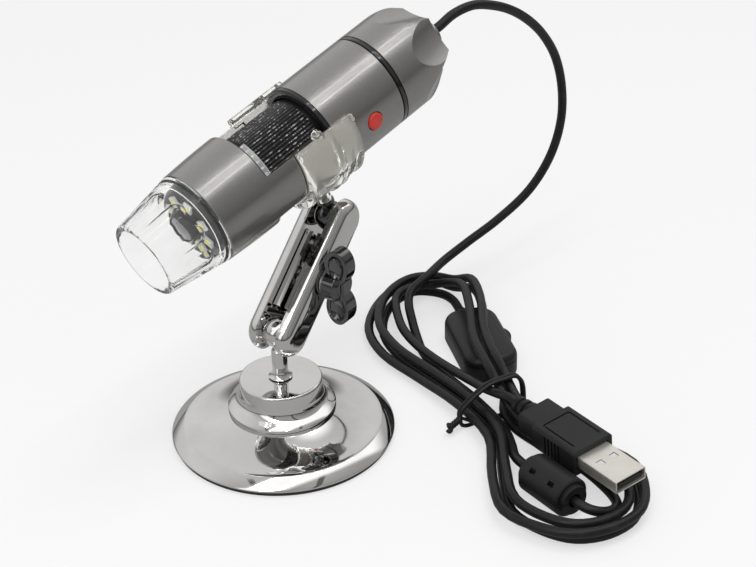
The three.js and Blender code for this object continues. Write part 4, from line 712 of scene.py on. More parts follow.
plugLine = splinePoints([hankRoute[-1] + hankRun * 0.05, hankRoute[-1] + hankRun * 1.9,
                         *(hankPoint(*p) for p in cord["plugRun"]), plugCordEnd - plugAxis * 3.2, plugCordEnd])


def declareCord(line):
    path = [p * unit for p in line]
    lineLength(path)


def leadParts():                  # the lead runs past five joints and is laid as five parts along its length
    bodies = ["scope", "holder", "upper_ball", "arm", "lower_stud", "base"]
    total = lineLength(leadLine)
    shares = cord["leadShares"]   # shares of the lead's length at which the parts end, the longest parts where the joints move the tail most
    count = len(shares)
    marks, travelled = [0], 0.0
    for i, (a, b) in enumerate(zip(leadLine, leadLine[1:])):
        travelled += (b - a).length
        if len(marks) < count and travelled >= total * shares[len(marks) - 1]:
            marks.append(i + 1)
    marks.append(len(leadLine) - 1)
    for i in range(count):
        line = leadLine[marks[i]:marks[i + 1] + 1]
        part = tubeMesh(f"cord_lead_{i + 1}", line, cord["radius"])
        if i == 0:
            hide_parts("cord_lead")
        inset = max(2, len(line) // 8)
        bodies[i + 1]
        line[inset] * unit
        line[-1 - inset] * unit
        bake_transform(part)
        declareCord(line)


leadParts()
print("lead laid", round(lineLength(leadLine), 1))

# Base
base = {"padRadius": 35.9, "padTop": 1.3, "radius": 36.5, "low": 1.6, "rim": 2.4, "bevelRadius": 32.2,
        "bevelTop": 5.2, "dishRadius": 17.6, "dishTop": 9.6, "dishPower": 1.6, "shoulder": 12,
        "shoulderTop": 14.4, "bossRadius": 13.5, "fillet": 0.8, "top": 21.4, "wall": 2, "hole": 1.7}


def addBase():
    b = base
    pad = turned([(0, 0), (b["padRadius"] - 0.3, 0), (b["padRadius"], 0.3), (b["padRadius"], b["padTop"] - 0.2),
                  (b["padRadius"] - 0.2, b["padTop"]), (0, b["padTop"])], closed=False)
    addPiece("base_pad_dressed", pad, rowFrame, "base", ["base_pad"], "rubber", "rubber")
    dish = []
    for i in range(1, 13):
        share = i / 12
        dish.append((b["bevelRadius"] + (b["dishRadius"] - b["bevelRadius"]) * share,
                     b["bevelTop"] + (b["dishTop"] - b["bevelTop"]) * share ** b["dishPower"]))
    shoulder = [(b["dishRadius"], 11.5), (b["dishRadius"] - 0.1, 11.8), (b["dishRadius"] - 0.4, 12.05),
                (16.3, 12.75), (15.2, 13.35), (14.4, 14), (13.85, 14.9), (13.6, 15.9), (b["bossRadius"], 17)]
    fillet = []
    for i in range(7):
        angle = math.pi / 2 * i / 6
        fillet.append((b["bossRadius"] - b["fillet"] + b["fillet"] * math.cos(angle),
                       b["top"] - b["fillet"] + b["fillet"] * math.sin(angle)))
    bevelEdge = [(b["radius"] - 0.15, b["low"]), (b["radius"], b["low"] + 0.15), (b["radius"], b["rim"] - 0.2),
                 (b["radius"] - 0.35, b["rim"] + 0.25), (b["bevelRadius"] + 0.45, b["bevelTop"] - 0.25),
                 (b["bevelRadius"] + 0.1, b["bevelTop"] - 0.05)]
    inner = [(b["hole"], b["top"]), (b["hole"], b["top"] - b["wall"]), (b["bossRadius"] - b["wall"], b["top"] - b["wall"]),
             (b["bossRadius"] - b["wall"], b["shoulder"]), (b["dishRadius"] - b["wall"], b["dishTop"] - b["wall"]),
             (b["bevelRadius"] - b["wall"], b["bevelTop"] - 0.8), (b["radius"] - b["wall"], b["rim"]),
             (b["radius"] - b["wall"], b["low"])]
    shell = turned([*bevelEdge, *dish, *shoulder, *fillet, *inner], 160)
    addPiece("base_shell_dressed", shell, rowFrame, "base", ["base_shell"], "chrome_plate", "chrome", angle=28)
    ball = []
    for i in range(1, 25):
        angle = 0.368 + (math.pi - 0.368) * i / 24
        ball.append((5 * math.sin(angle) if i < 24 else 0, 38.2 - 5 * math.cos(angle)))
    stud = turned([(1.7, 21.7), (3.7, 21.7), (3.9, 21.95), (3.2, 22.5), (2.7, 23.3), (2.55, 24.4), (2.55, 31.4),
                   (2.4, 31.7), (1.85, 32.4), (1.8, 33.5), *ball, (0, 31.3), (0, 30.3), (1.7, 30.3)], 64, closed=True)
    addPiece("lower_ball_stud_dressed", stud, rowFrame, "lower_stud", ["lower_ball_stud"], "chrome_plate", "chrome")


# Arm: two domed half shells with rails between them
arm = {"length": 41.5, "halfWidth": 6.8, "rim": 3.8, "half": 8.6, "steps": 56, "railOffset": 0.9,
       "railHalf": 4, "railWall": 0.9, "pocketWall": 1.7, "boss": 3.6, "bolt": 1.6, "socket": 5.3}


def stadiumLoop(bm, radius, height, length, steps):
    made = bmesh.ops.create_circle(bm, cap_ends=False, radius=radius, segments=steps)["verts"]
    bmesh.ops.rotate(bm, cent=(0, 0, 0), matrix=Matrix.Rotation(math.pi / steps, 3, "Z"), verts=made)
    bmesh.ops.translate(bm, vec=(0, 0, height), verts=made)
    bmesh.ops.translate(bm, vec=(length, 0, 0), verts=[v for v in made if v.co.x > 0])
    return list({e for v in made for e in v.link_edges})


def domedShell():
    bm = bmesh.new()
    rings = []
    steps = 12
    for i in range(steps + 1):
        angle = math.pi / 2 * i / steps
        inset = arm["halfWidth"] * 0.68 * (1 - math.cos(angle) ** 0.9)
        height = arm["rim"] + 0.25 + (arm["half"] - arm["rim"] - 0.25) * math.sin(angle) ** 0.85
        rings.append(stadiumLoop(bm, arm["halfWidth"] - inset, height, arm["length"], arm["steps"]))
    rings.insert(0, stadiumLoop(bm, arm["halfWidth"] - 0.25, arm["rim"], arm["length"], arm["steps"]))
    for low, high in zip(rings, rings[1:]):
        bmesh.ops.bridge_loops(bm, edges=low + high)
    bmesh.ops.edgeloop_fill(bm, edges=rings[0])
    bmesh.ops.edgeloop_fill(bm, edges=rings[-1])
    bmesh.ops.recalc_face_normals(bm, faces=bm.faces)
    return bm


def armHalf(recess):
    a = arm
    middle = a["length"] / 2
    floor = a["half"] - a["pocketWall"]
    pocketLength = a["length"] - 2 * (a["socket"] + a["pocketWall"])
    changes = [("DIFFERENCE", block((pocketLength, 9, floor - a["rim"] + 1), (middle, 0, (floor + a["rim"] - 1) / 2),
                                    corner=1.2))]
    for place in (0, a["length"]):
        changes.append(("DIFFERENCE", ellipsoid((a["socket"],) * 3, (place, 0, 0))))
    for side in (-1, 1):
        depth = floor - a["railOffset"] + 0.8
        changes.append(("UNION", block((pocketLength - 1, a["railWall"], depth),
                                       (middle, side * (a["railHalf"] - a["railWall"] / 2),
                                        a["railOffset"] + depth / 2))))
    changes.append(("UNION", moved(solidBar(a["boss"], a["railOffset"], floor + 0.8), (middle, 0, 0))))
    changes.append(("DIFFERENCE", moved(solidBar(a["bolt"] + 0.3, 0, a["half"] + 1), (middle, 0, 0))))
    if recess:
        changes.append(("DIFFERENCE", moved(solidBar(3.3, a["half"] - 1.9, a["half"] + 1), (middle, 0, 0))))
    return shaped(domedShell(), *changes)


def addArm():
    front = armHalf(False)
    addPiece("arm_front_shell_dressed", front, armFrame, "arm_front", ["arm_front_shell"], "chrome_plate", "chrome",
             edge=0.15)
    back = moved(armHalf(True), turn=("X", 180))
    addPiece("arm_back_shell_dressed", back, armFrame, "arm", ["arm_back_shell"], "chrome_plate", "chrome", edge=0.15)
    middle = arm["length"] / 2
    head = -(arm["half"] - 1.9) - 0.3
    bolt = turned([(0, head - 1.1), (1.4, head - 1.1), (1.6, head - 1.3), (2.6, head - 1.2), (3, head - 0.9), (3, head),
                   (1.6, head), (1.6, 14.6), (1.3, 14.9), (0, 14.9)], 48, closed=False)
    addPiece("clamp_bolt_dressed", moved(bolt, (middle, 0, 0)), armFrame, "arm", ["clamp_bolt"], "steel", "steel")
    washer = moved(sleeve(1.9, 4.4, 8.9, 9.7, 48), (middle, 0, 0))
    addPiece("clamp_washer_dressed", washer, armFrame, "arm_front", ["clamp_washer"], "steel", "steel", edge=0.12)


# Clamp knob: hub and wing cast as one, dished for finger and thumb
knob = {"hubRadius": 5.5, "start": 10, "end": 16, "lobePlace": 7.4, "lobeLong": 5.9, "lobeDeep": 4.3,
        "centre": 14.3, "thick": 5, "dimpleDeep": 1.6}


def addKnob():
    k = knob
    hub = turned([(0, k["start"]), (k["hubRadius"] - 0.3, k["start"]), (k["hubRadius"], k["start"] + 0.4),
                  (k["hubRadius"], k["end"] - 1.4), (k["hubRadius"] - 1.6, k["end"]), (0, k["end"])], 56, closed=False)
    changes = []
    for side in (-1, 1):
        lobe = solidBar(1, -k["thick"] / 2, k["thick"] / 2, 56)
        bmesh.ops.bevel(lobe, geom=[e for e in lobe.edges if e.calc_face_angle(0) > 1], offset=0.1, segments=4,
                        profile=0.5, affect="EDGES", material=-1)
        bmesh.ops.scale(lobe, vec=(k["lobeLong"], k["lobeDeep"], 1), verts=lobe.verts)
        changes.append(("UNION", moved(lobe, (side * k["lobePlace"], 0, k["centre"]), ("X", 90))))
    web = block((2 * k["lobePlace"], k["thick"] - 1, k["lobeDeep"] + 0.5), (0, 0, k["centre"]))
    changes.append(("UNION", web))
    for side in (-1, 1):
        for face in (-1, 1):
            dish = ellipsoid((k["lobeLong"] * 0.72, k["dimpleDeep"], k["lobeDeep"] * 0.68),
                             (side * k["lobePlace"], face * k["thick"] / 2, k["centre"]))
            changes.append(("DIFFERENCE", dish))
    body = softened(shaped(hub, *changes), 0.16, 4)
    pocket = prism([(3.4 * math.cos(i * math.pi / 3), 3.4 * math.sin(i * math.pi / 3)) for i in range(6)], 9, 13.9)
    body = shaped(body, ("DIFFERENCE", pocket), ("DIFFERENCE", solidBar(1.9, 10, 15.2, 32)))
    addPiece("clamp_knob_dressed", body, knobFrame, "knob", ["clamp_knob"], "smoked_chrome", "smoked", angle=60)


# Tube
tube = {"bore": 14.05, "radius": 16.5, "mouth": 12.6, "seam": 15.8, "noseEnd": 21.3, "boardPlace": 19,
        "windowStart": 41, "split": 52.5, "windowEnd": 66.5, "windowHalf": 61.5, "ring": 95.3,
        "ringLength": 1.5, "tailStart": 97.1, "taperStart": 108, "corner": 121, "cornerRadius": 11.9,
        "collar": 4.7, "end": 124.8, "scoop": 22, "scoopLean": 25, "scoopStart": 8, "leds": 8, "ledRing": 8.5, "ledSize": 3.1, "ribs": 72,
        "flute": 3.3, "fluteCentre": 9.7, "fluteTop": 17.6, "fluteLean": 9}


def arcPoints(centre, radius, start, end, steps):
    return [(centre[0] + radius * math.cos(math.radians(start + (end - start) * i / steps)),
             centre[1] + radius * math.sin(math.radians(start + (end - start) * i / steps)))
            for i in range(steps + 1)]


def addNose():
    t = tube
    shell = turned([*arcPoints((11.5, 1.1), 1.1, 180, 360, 10), (t["seam"] - 0.15, t["noseEnd"] - 0.1),
                    (t["seam"] - 0.3, t["noseEnd"]), (13.75, t["noseEnd"]), (13.75, 24.7), (12.75, 24.7), (12.75, 19),
                    (11.95, 19)], 128)
    changes = []
    for i in range(t["leds"]):
        half = [(t["flute"] * math.sin(angle), t["flute"] * math.cos(angle))
                for angle in (math.pi / 2 * j / 10 for j in range(11))]
        flute = turned([*half, (t["flute"], -16), (0, -16)], 40, closed=False)
        moved(flute, (t["fluteCentre"], 0, t["fluteTop"] - t["flute"]), ("Y", t["fluteLean"]))
        changes.append(("DIFFERENCE", moved(flute, turn=("Z", 360 * (i + 0.5) / t["leds"]))))
    addPiece("nose_cap_dressed", shaped(shell, *changes), tubeFrame, "scope", ["nose_cap"], "clear_plastic", "clear",
             angle=40)
    board = sleeve(4.8, 12.45, 19.3, 20.9, 64)
    addPiece("led_board_dressed", board, tubeFrame, "scope", ["led_board"], "black_satin", "matte", edge=0.1)
    for i in range(t["leds"]):
        turn = ("Z", 360 * (i + 0.5) / t["leds"])
        body = moved(block((t["ledSize"], t["ledSize"], 0.9), (t["ledRing"], 0, 18.55), edge=0.12), turn=turn)
        dome = moved(ellipsoid((1.1, 1.1, 0.42), (t["ledRing"], 0, 18.1), 24), turn=turn)
        for face in dome.faces:
            face.material_index = 1
        added(body, dome)
        addPiece(f"led_{i + 1}_dressed", body, tubeFrame, "scope", [f"led_{i + 1}"], "led_phosphor", "ceramic",
                 "phosphor")


def addBarrels():
    t = tube
    front = turned([(t["bore"], 21.6), (t["seam"] - 0.12, 21.6), (t["seam"], 21.72), (15.98, 25), (16.25, 30.2),
                    (16.42, 35), (t["radius"], 38.8), (t["radius"], 52.23), (t["radius"] - 0.12, 52.35), (15.28, 52.35),
                    (15.28, 55.35), (t["bore"], 55.35)], 160)
    changes = []
    for turn in (0, 180):
        window = arcBlock(0, 18.2, t["windowStart"], 57, turn - t["windowHalf"], turn + t["windowHalf"], 40)
        if turn == 0:
            keep = arcBlock(13, 15.7, 40, 43.5, 16, 62.5)
            window = shaped(window, ("DIFFERENCE", keep))
        changes.append(("DIFFERENCE", window))
    addPiece("front_barrel_dressed", shaped(front, *changes), tubeFrame, "scope", ["front_barrel"], "grey_body",
             "lacquer", edge=0.18)
    rear = turned([(15.58, 52.65), (t["radius"] - 0.12, 52.65), (t["radius"], 52.77), (t["radius"], 94.88),
                   (t["radius"] - 0.12, 95), (t["bore"], 95), (t["bore"], 55.95), (15.58, 55.95)], 160)
    changes = [("DIFFERENCE", arcBlock(0, 18.2, 51.6, 68.1, turn - t["windowHalf"], turn + t["windowHalf"], 40))
               for turn in (0, 180)]
    changes.append(("DIFFERENCE", moved(solidBar(3.1, 12, 18), (0, 0, 83), ("X", -90))))
    addPiece("rear_barrel_dressed", shaped(rear, *changes), tubeFrame, "scope", ["rear_barrel"], "grey_body",
             "lacquer", edge=0.18)
    bezel = turned([(13.15, 67.3), (13.3, 66.9), (13.95, 66.5), (15.5, 66.5), (16.0, 66.6), (16.35, 66.85),
                    (t["radius"], 67.3), (t["radius"], 67.8), (13.75, 67.8), (13.75, 69.4), (13.15, 69.4)], 128)
    changes = [("DIFFERENCE", arcBlock(13.75, 17.5, 65.5, 68.8, turn - 29.5, turn + 29.5)) for turn in (90, 270)]
    addPiece("rear_bezel_dressed", shaped(bezel, *changes), tubeFrame, "scope", ["rear_bezel"], "black_gloss",
             "gloss", edge=0.08)
    ring = turned([(12.15, 92.1), (13.75, 92.1), (13.75, 95.3), (t["radius"] - 0.3, 95.3), (t["radius"] - 0.05, 95.45),
                   (t["radius"], 95.7), (t["radius"], 96.4), (t["radius"] - 0.05, 96.65), (t["radius"] - 0.3, 96.8),
                   (13.75, 96.8), (13.75, 100), (12.15, 100)], 160)
    addPiece("seam_ring_dressed", ring, tubeFrame, "scope", ["seam_ring"], "black_gloss", "gloss")


def addLabel():                   # dial band at the window's front, with plain numbers
    band = arcBlock(16.0, 16.4, 41.3, 43.2, 17, 60.5, 24)
    addPiece("scale_label_dressed", band, tubeFrame, "scope", ["scale_label"], "silver_label", "film", edge=0.05)
    marks = bmesh.new()
    for i in range(21):
        angle = 19 + 2 * i
        size = 0.35 if i % 4 else 0.55
        tick = arcBlock(16.395, 16.425, 43.15 - size, 43.15, angle - 0.22, angle + 0.22, 2)
        added(marks, tick)
    for i in range(6):
        curve = bpy.data.curves.new("number", "FONT")
        curve.body = str(i * 2)
        curve.size = 1.45
        curve.extrude = 0.012
        curve.align_x = "CENTER"
        source = bpy.data.objects.new("number", curve)
        scene.collection.objects.link(source)
        graph = bpy.context.evaluated_depsgraph_get()
        mesh = bpy.data.meshes.new_from_object(source.evaluated_get(graph))
        bpy.data.objects.remove(source)
        for v in mesh.vertices:
            x, y, z = v.co
            angle = math.radians(19 + 8 * i) - x / 16.4
            radius = 16.412 + z
            v.co = (radius * math.cos(angle), radius * math.sin(angle), 41.42 + y)
        marks.from_mesh(mesh)
        bpy.data.meshes.remove(mesh)
    addPiece("scale_marks", marks, tubeFrame, "scope", [], "black_satin", "ink")


def addDrum():
    t = tube
    core = turned([(9.1, 36), (13.75, 36), (13.75, 43.2), (12.5, 43.2), (12.5, 62), (12.85, 62), (12.85, 70.9),
                   (11.5, 70.9), (11.5, 59.8), (9.1, 59.8)], 96)
    addPiece("drum_core", core, tubeFrame, "focus", ["focus_drum"], "black_gloss", "satin", edge=0.1)
    grip = bmesh.new()
    pitch = fullTurn / t["ribs"]
    shape = [(0.0, 12.84), (0.1, 12.9), (0.3, 13.2), (0.42, 13.3), (0.58, 13.3), (0.7, 13.2), (0.9, 12.9)]
    verts = [grip.verts.new((radius * math.cos(share * pitch), radius * math.sin(share * pitch), 43.7))
             for share, radius in shape]
    verts.append(grip.verts.new((12.84 * math.cos(pitch), 12.84 * math.sin(pitch), 43.7)))
    edges = [grip.edges.new(pair) for pair in zip(verts, verts[1:])]
    bmesh.ops.spin(grip, geom=verts + edges, cent=(0, 0, 0), axis=(0, 0, 1), angle=fullTurn, steps=t["ribs"],
                   use_duplicate=True)
    bmesh.ops.remove_doubles(grip, verts=grip.verts, dist=1e-3)
    outline = list(grip.edges)
    heights = [0.35, 21.65, 22.0]
    for lift in heights:
        made = bmesh.ops.extrude_edge_only(grip, edges=outline)["geom"]
        ring = [v for v in made if isinstance(v, bmesh.types.BMVert)]
        outline = [e for e in made if isinstance(e, bmesh.types.BMEdge)]
        current = ring[0].co.z
        bmesh.ops.translate(grip, vec=(0, 0, 43.6 + lift - current), verts=ring)
    for v in grip.verts:
        if v.co.z < 43.75 or v.co.z > 65.5:
            share = 12.6 / Vector((v.co.x, v.co.y)).length
            v.co.x, v.co.y = v.co.x * share, v.co.y * share
    rims = [e for e in grip.edges if e.is_boundary]
    bmesh.ops.holes_fill(grip, edges=rims)
    tidied(grip)
    crest, along, rib = (grip.verts.layers.float.new(key) for key in ("crest", "along", "rib"))
    stations = [44 + 0.5 * i for i in range(43)]
    for station in stations:
        bmesh.ops.bisect_plane(grip, geom=list(grip.verts) + list(grip.edges) + list(grip.faces), dist=1e-5,
                               plane_co=(0, 0, station), plane_no=(0, 0, 1))
    for v in grip.verts:
        v[crest] = min(max((Vector((v.co.x, v.co.y)).length - 12.84) / 0.46, 0), 1)
        v[along] = v.co.z
        v[rib] = round((math.atan2(v.co.y, v.co.x) % fullTurn) / pitch - 0.5)
    addPiece("drum_grip", grip, tubeFrame, "focus", [], "black_gloss", "drum", angle=50)


def addTail():
    t = tube
    run, rise = t["radius"] - t["cornerRadius"], t["corner"] - t["taperStart"]
    taper = []
    for i in range(1, 13):
        share = i / 12
        taper.append((t["radius"] - run * share ** 2.15, t["taperStart"] + rise * share ** 0.87))
    end = []
    endRun, endRise = t["cornerRadius"] - t["collar"], t["end"] - t["corner"]
    for i in range(1, 9):
        share = i / 8
        end.append((t["cornerRadius"] - endRun * math.sin(share * math.pi / 2) ** 0.9,
                    t["corner"] + endRise * (1 - math.cos(share * math.pi / 2)) ** 1.05))
    cap = turned([(t["bore"], 97.1), (t["radius"] - 0.12, 97.1), (t["radius"], 97.22), (t["radius"], t["taperStart"]),
                  *taper, *end, (3.4, t["end"]), (3.2, t["end"] - 0.2), (3.2, 117.8), (5.2, 117.8), (5.2, 106.55),
                  (t["bore"], 104.1)], 160)
    changes = []
    for i in range(6):
        hollow = t["scoop"]
        quarter = [(hollow * math.cos(angle), hollow * math.sin(angle))
                   for angle in (-math.pi / 2 + math.pi * j / 48 for j in range(25))]
        scoop = turned([*quarter, (hollow, 40), (0, 40)], 144, closed=False)
        moved(scoop, (0, 0, 0), ("Y", -t["scoopLean"]))
        across = math.cos(math.radians(t["scoopLean"])) * hollow
        moved(scoop, (t["radius"] + across - 0.35, 0, t["taperStart"] + t["scoopStart"]))
        changes.append(("DIFFERENCE", moved(scoop, turn=("Z", 60 * i))))
    addPiece("tail_cap_dressed", shaped(cap, *changes), tubeFrame, "scope", ["tail_cap"], "grey_body", "lacquer",
             edge=0.22, angle=22)
    grommet = turned([(0, 115.9), (4.4, 115.9), (4.4, 117.5), (2.9, 117.5), (2.9, 124.9), (2.75, 125.1), (2.6, 125.1),
                      (2.55, 125.3), (2.6, 125.5), (2.4, 125.6), (0, 125.6)], 48, closed=False)
    addPiece("cord_grommet_dressed", grommet, tubeFrame, "scope", ["cord_grommet"], "cord_black", "sheath")


def addOptics():
    barrel = turned([(2.6, 16.9), (3.8, 16.9), (3.8, 15.7), (4.0, 15.5), (4.4, 15.7), (4.4, 17), (4.2, 17.1),
                     (4.2, 17.5), (4.4, 17.6), (4.4, 18.4), (4.2, 18.5), (4.2, 18.9), (4.4, 19), (4.4, 38), (8.8, 38),
                     (8.8, 46), (2.6, 46)], 64)
    addPiece("lens_barrel_dressed", barrel, tubeFrame, "lens", ["lens_barrel"], "black_satin", "satin")
    glass = turned([(0, 16.6), (3.5, 16.6), (3.5, 15.9), (3.1, 15.82), (2.2, 15.7), (1.2, 15.62), (0, 15.6)], 48,
                   closed=False)
    addPiece("lens_glass_dressed", glass, tubeFrame, "lens", ["lens_glass"], "lens_glass", "glass")
    flange = math.sqrt(tube["bore"] ** 2 - 3.6 ** 2) - 0.3
    button = turned([(0, flange - 0.9), (3.6, flange - 0.9), (3.6, flange), (2.8, flange), (2.8, 16.75), (2.72, 16.95),
                     (2.5, 17.12), (2.1, 17.27), (1.5, 17.39), (0.8, 17.47), (0, 17.5)], 48, closed=False)
    addPiece("snap_button_dressed", moved(button, (0, 0, 83), ("X", -90)), tubeFrame, "button", ["snap_button"],
             "red_plastic", "red")


# Clear holder
clip = {"inner": 16.8, "thick": 2.2, "start": 53, "end": 75, "half": 66, "bead": 1.4, "ribs": (64.2, 67.7),
        "ribHeight": 0.8, "nubPlace": 61.5, "nub": 1.7, "nubHole": 0.7, "stemTop": 3.6, "stem": 2.5, "stemEnd": 26.8}


def addHolder():
    c = clip
    outer = c["inner"] + c["thick"]
    low, high = c["ribs"]
    band = turned([(c["inner"], c["start"]), (outer - 0.6, c["start"]), (outer - 0.2, c["start"] + 0.2),
                   (outer + 0.25, c["start"] + 0.8), (outer + 0.25, c["start"] + 1.6), (outer, c["start"] + 2),
                   (outer, low - 0.3), (outer + c["ribHeight"], low), (outer + c["ribHeight"], low + 1),
                   (outer + 0.35, low + 1.3), (outer + 0.35, high - 1.3), (outer + c["ribHeight"], high - 1),
                   (outer + c["ribHeight"], high), (outer, high + 0.3), (outer, c["end"] - 2),
                   (outer + 0.25, c["end"] - 1.6), (outer + 0.25, c["end"] - 0.8), (outer - 0.2, c["end"] - 0.2),
                   (outer - 0.6, c["end"]), (c["inner"], c["end"])], 144)
    changes = [("DIFFERENCE", arcBlock(0, 24, 50, 78, -c["half"], c["half"], 40))]
    beadRing = c["inner"] + c["bead"]
    for side in (-1, 1):
        angle = math.radians(side * c["half"])
        bead = solidBar(c["bead"], c["start"], c["end"], 32)
        changes.append(("UNION", moved(bead, (beadRing * math.cos(angle), beadRing * math.sin(angle), 0))))
    nubAngle = math.radians(c["half"] - 1)
    nubPlace = (outer * math.cos(nubAngle) + c["nub"], beadRing * math.sin(nubAngle), c["nubPlace"])
    changes.append(("UNION", moved(solidBar(c["nub"], -1.4, 1.4, 32), nubPlace, ("X", 90))))
    stem = turned([(0, 17.1), (4.6, 17.1), (4.2, 19.2), (3.6, 20.3), (2.9, 21.3), (2.5, 22.4), (2.4, 23.8),
                   (2.25, c["stemEnd"]), (0, c["stemEnd"])], 48, closed=False)
    changes.append(("UNION", moved(stem, (0, 0, 66.5), ("Y", -90))))
    changes.append(("DIFFERENCE", moved(solidBar(c["nubHole"], -3, 3, 24), nubPlace, ("X", 90))))
    changes.append(("DIFFERENCE", moved(solidBar(1.15, 22.5, 28, 24), (0, 0, 66.5), ("Y", -90))))
    addPiece("holder_clip_dressed", shaped(band, *changes), tubeFrame, "holder", ["holder_clip"], "clear_plastic",
             "clip", edge=0.12, angle=40)
    start = math.asin(1.9 / 5)
    ball = []
    for i in range(1, 25):
        angle = start + (math.pi - start) * i / 24
        ball.append((5 * math.sin(angle) if i < 24 else 0, 5 * math.cos(angle)))
    stud = turned([(0, 10.9), (0.9, 10.9), (1, 10.8), (1, 6.9), (2.7, 6.9), (2.9, 6.7), (2.9, 5.9), (2.7, 5.7),
                   (1.95, 5.3), (1.9, 4.7), *ball], 56, closed=False)
    moved(stud, (-pose["stemLength"], 0, pose["holderPlace"]), ("Y", 90))
    addPiece("holder_ball_dressed", stud, tubeFrame, "upper_ball", ["holder_ball"], "smoked_chrome", "smoked")


# Light control on the cord
dimmer = {"length": 36, "width": 19, "height": 9.4, "corner": 7, "split": 5.83, "wheel": 6.2, "wheelPlace": -4.7,
          "wheelLow": 4.63, "wheelHigh": 7.03, "relief": 2.6, "reliefLength": 7, "reliefHeight": 2.9}
dimmerFrame = hankFrame(36.7, 16.1, 12.6, 0)


def ribbedSleeve(radius, tip, length, ribs, bore, steps=40):
    profile = [(bore, 0)]
    groove = 0.85
    for i in range(ribs):
        size = radius + (tip - radius) * i / ribs
        start = length * i / ribs
        rib = length / ribs * 0.6
        profile += [(size - 0.2, start), (size, start + 0.2), (size, start + rib - 0.2), (size - 0.2, start + rib),
                    (size - groove, start + rib + 0.15), (size - groove, length * (i + 1) / ribs - 0.1)]
    profile.append((bore, length - 0.1))
    return turned(profile, steps)


def addDimmer():
    d = dimmer
    slotCut = [("DIFFERENCE", moved(solidBar(d["wheel"] + 0.3, d["wheelLow"] - 0.3, d["wheelHigh"] + 0.3),
                                    (0, d["wheelPlace"], 0)))]
    low = block((d["length"], d["width"], d["split"] - 0.15), (0, 0, (d["split"] - 0.15) / 2), corner=d["corner"],
                segments=8)
    under = [e for e in low.edges if all(v.co.z < 0.01 for v in e.verts)]
    bmesh.ops.bevel(low, geom=under, offset=0.8, segments=3, profile=0.5, affect="EDGES", material=-1)
    sleeves = [("UNION", moved(ribbedSleeve(d["relief"], d["relief"] - 0.3, d["reliefLength"] + 1, 3, 0.1),
                               (side * (d["length"] / 2 - 1), 0, d["reliefHeight"]), ("Y", side * 90)))
               for side in (-1, 1)]
    pot = [("DIFFERENCE", moved(solidBar(3.5, 1.3, 6), (0, d["wheelPlace"], 0)))]
    lower = addPiece("dimmer_bottom_dressed", shaped(low, *sleeves, *slotCut, *pot), dimmerFrame, "base",
                     ["dimmer_bottom"], "black_satin", "satin", edge=0.12)
    top = block((d["length"], d["width"], d["height"] - d["split"] - 0.15),
                (0, 0, (d["height"] + d["split"] + 0.15) / 2), corner=d["corner"], segments=8)
    over = [e for e in top.edges if all(v.co.z > d["height"] - 0.01 for v in e.verts)]
    bmesh.ops.bevel(top, geom=over, offset=3, segments=6, profile=0.5, affect="EDGES", material=-1)
    spindle = [("DIFFERENCE", moved(solidBar(1.5, 5, 8.1), (0, d["wheelPlace"], 0)))]
    upper = addPiece("dimmer_top_dressed", shaped(top, *moreCuts(slotCut, d), *spindle), dimmerFrame, "base",
                     ["dimmer_top"], "black_satin", "satin", edge=0.12)
    wheel = bmesh.new()
    teeth = 36
    face = wheel.faces.new([wheel.verts.new(((d["wheel"] - 0.25 * (i % 2)) * math.cos(fullTurn * i / teeth / 2),
                                             (d["wheel"] - 0.25 * (i % 2)) * math.sin(fullTurn * i / teeth / 2),
                                             d["wheelLow"])) for i in range(teeth * 2)])
    grown = bmesh.ops.extrude_face_region(wheel, geom=[face])
    tops = [v for v in grown["geom"] if isinstance(v, bmesh.types.BMVert)]
    bmesh.ops.translate(wheel, vec=(0, 0, d["wheelHigh"] - d["wheelLow"]), verts=tops)
    wheel = shaped(tidied(wheel), ("DIFFERENCE", solidBar(1.5, 3, 9, 32)))
    addPiece("dimmer_wheel_dressed", moved(wheel, (0, d["wheelPlace"], 0)), dimmerFrame, "dimmer", ["dimmer_wheel"],
             "black_satin", "matte", edge=0.08)
    return [lower, upper]


def moreCuts(ignored, d):
    return [("DIFFERENCE", moved(solidBar(d["wheel"] + 0.3, 0, d["wheelHigh"] + 0.3), (0, d["wheelPlace"], 0)))]


# Ferrite sleeve, split along its length, with a catch slot at each side of its top
ferrite = {"half": 10.5, "radius": 6.5, "collar": 4.9, "collarLength": 1.6, "bore": 2.3, "wall": 1.4}
ferriteFrame = hankFrame(-47.5, -6, 170, 6.8)


def addFerrite():
    f = ferrite
    made = []
    for side, label in ((1, "top"), (-1, "bottom")):
        edge = 0.5
        inner, cavity = f["half"] - f["collarLength"] - f["wall"], f["radius"] - f["wall"]
        body = turned([(f["bore"], -f["half"]), (f["collar"] - 0.2, -f["half"]), (f["collar"], -f["half"] + 0.2),
                       (f["collar"], -f["half"] + f["collarLength"]),
                       (f["radius"] - edge, -f["half"] + f["collarLength"]),
                       (f["radius"], -f["half"] + f["collarLength"] + edge), (f["radius"], f["half"] - f["collarLength"] - edge),
                       (f["radius"] - edge, f["half"] - f["collarLength"]), (f["collar"], f["half"] - f["collarLength"]),
                       (f["collar"], f["half"] - 0.2), (f["collar"] - 0.2, f["half"]), (f["bore"], f["half"]),
                       (f["bore"], inner), (cavity, inner), (cavity, -inner), (f["bore"], -inner)], 72)
        moved(body, turn=("Y", 90))
        changes = [("INTERSECT", block((50, 50, 50), (0, 0, side * 25.15)))]
        if side == 1:
            for place in (-4.2, 4.2):
                changes.append(("DIFFERENCE", block((2.4, 1.2, 3), (place, -4.4, 4.6))))
        made.append(addPiece(f"ferrite_{label}_dressed", shaped(body, *changes), ferriteFrame, "base",
                             [f"ferrite_{label}"], "black_satin", "matte", edge=0.1))
    return made


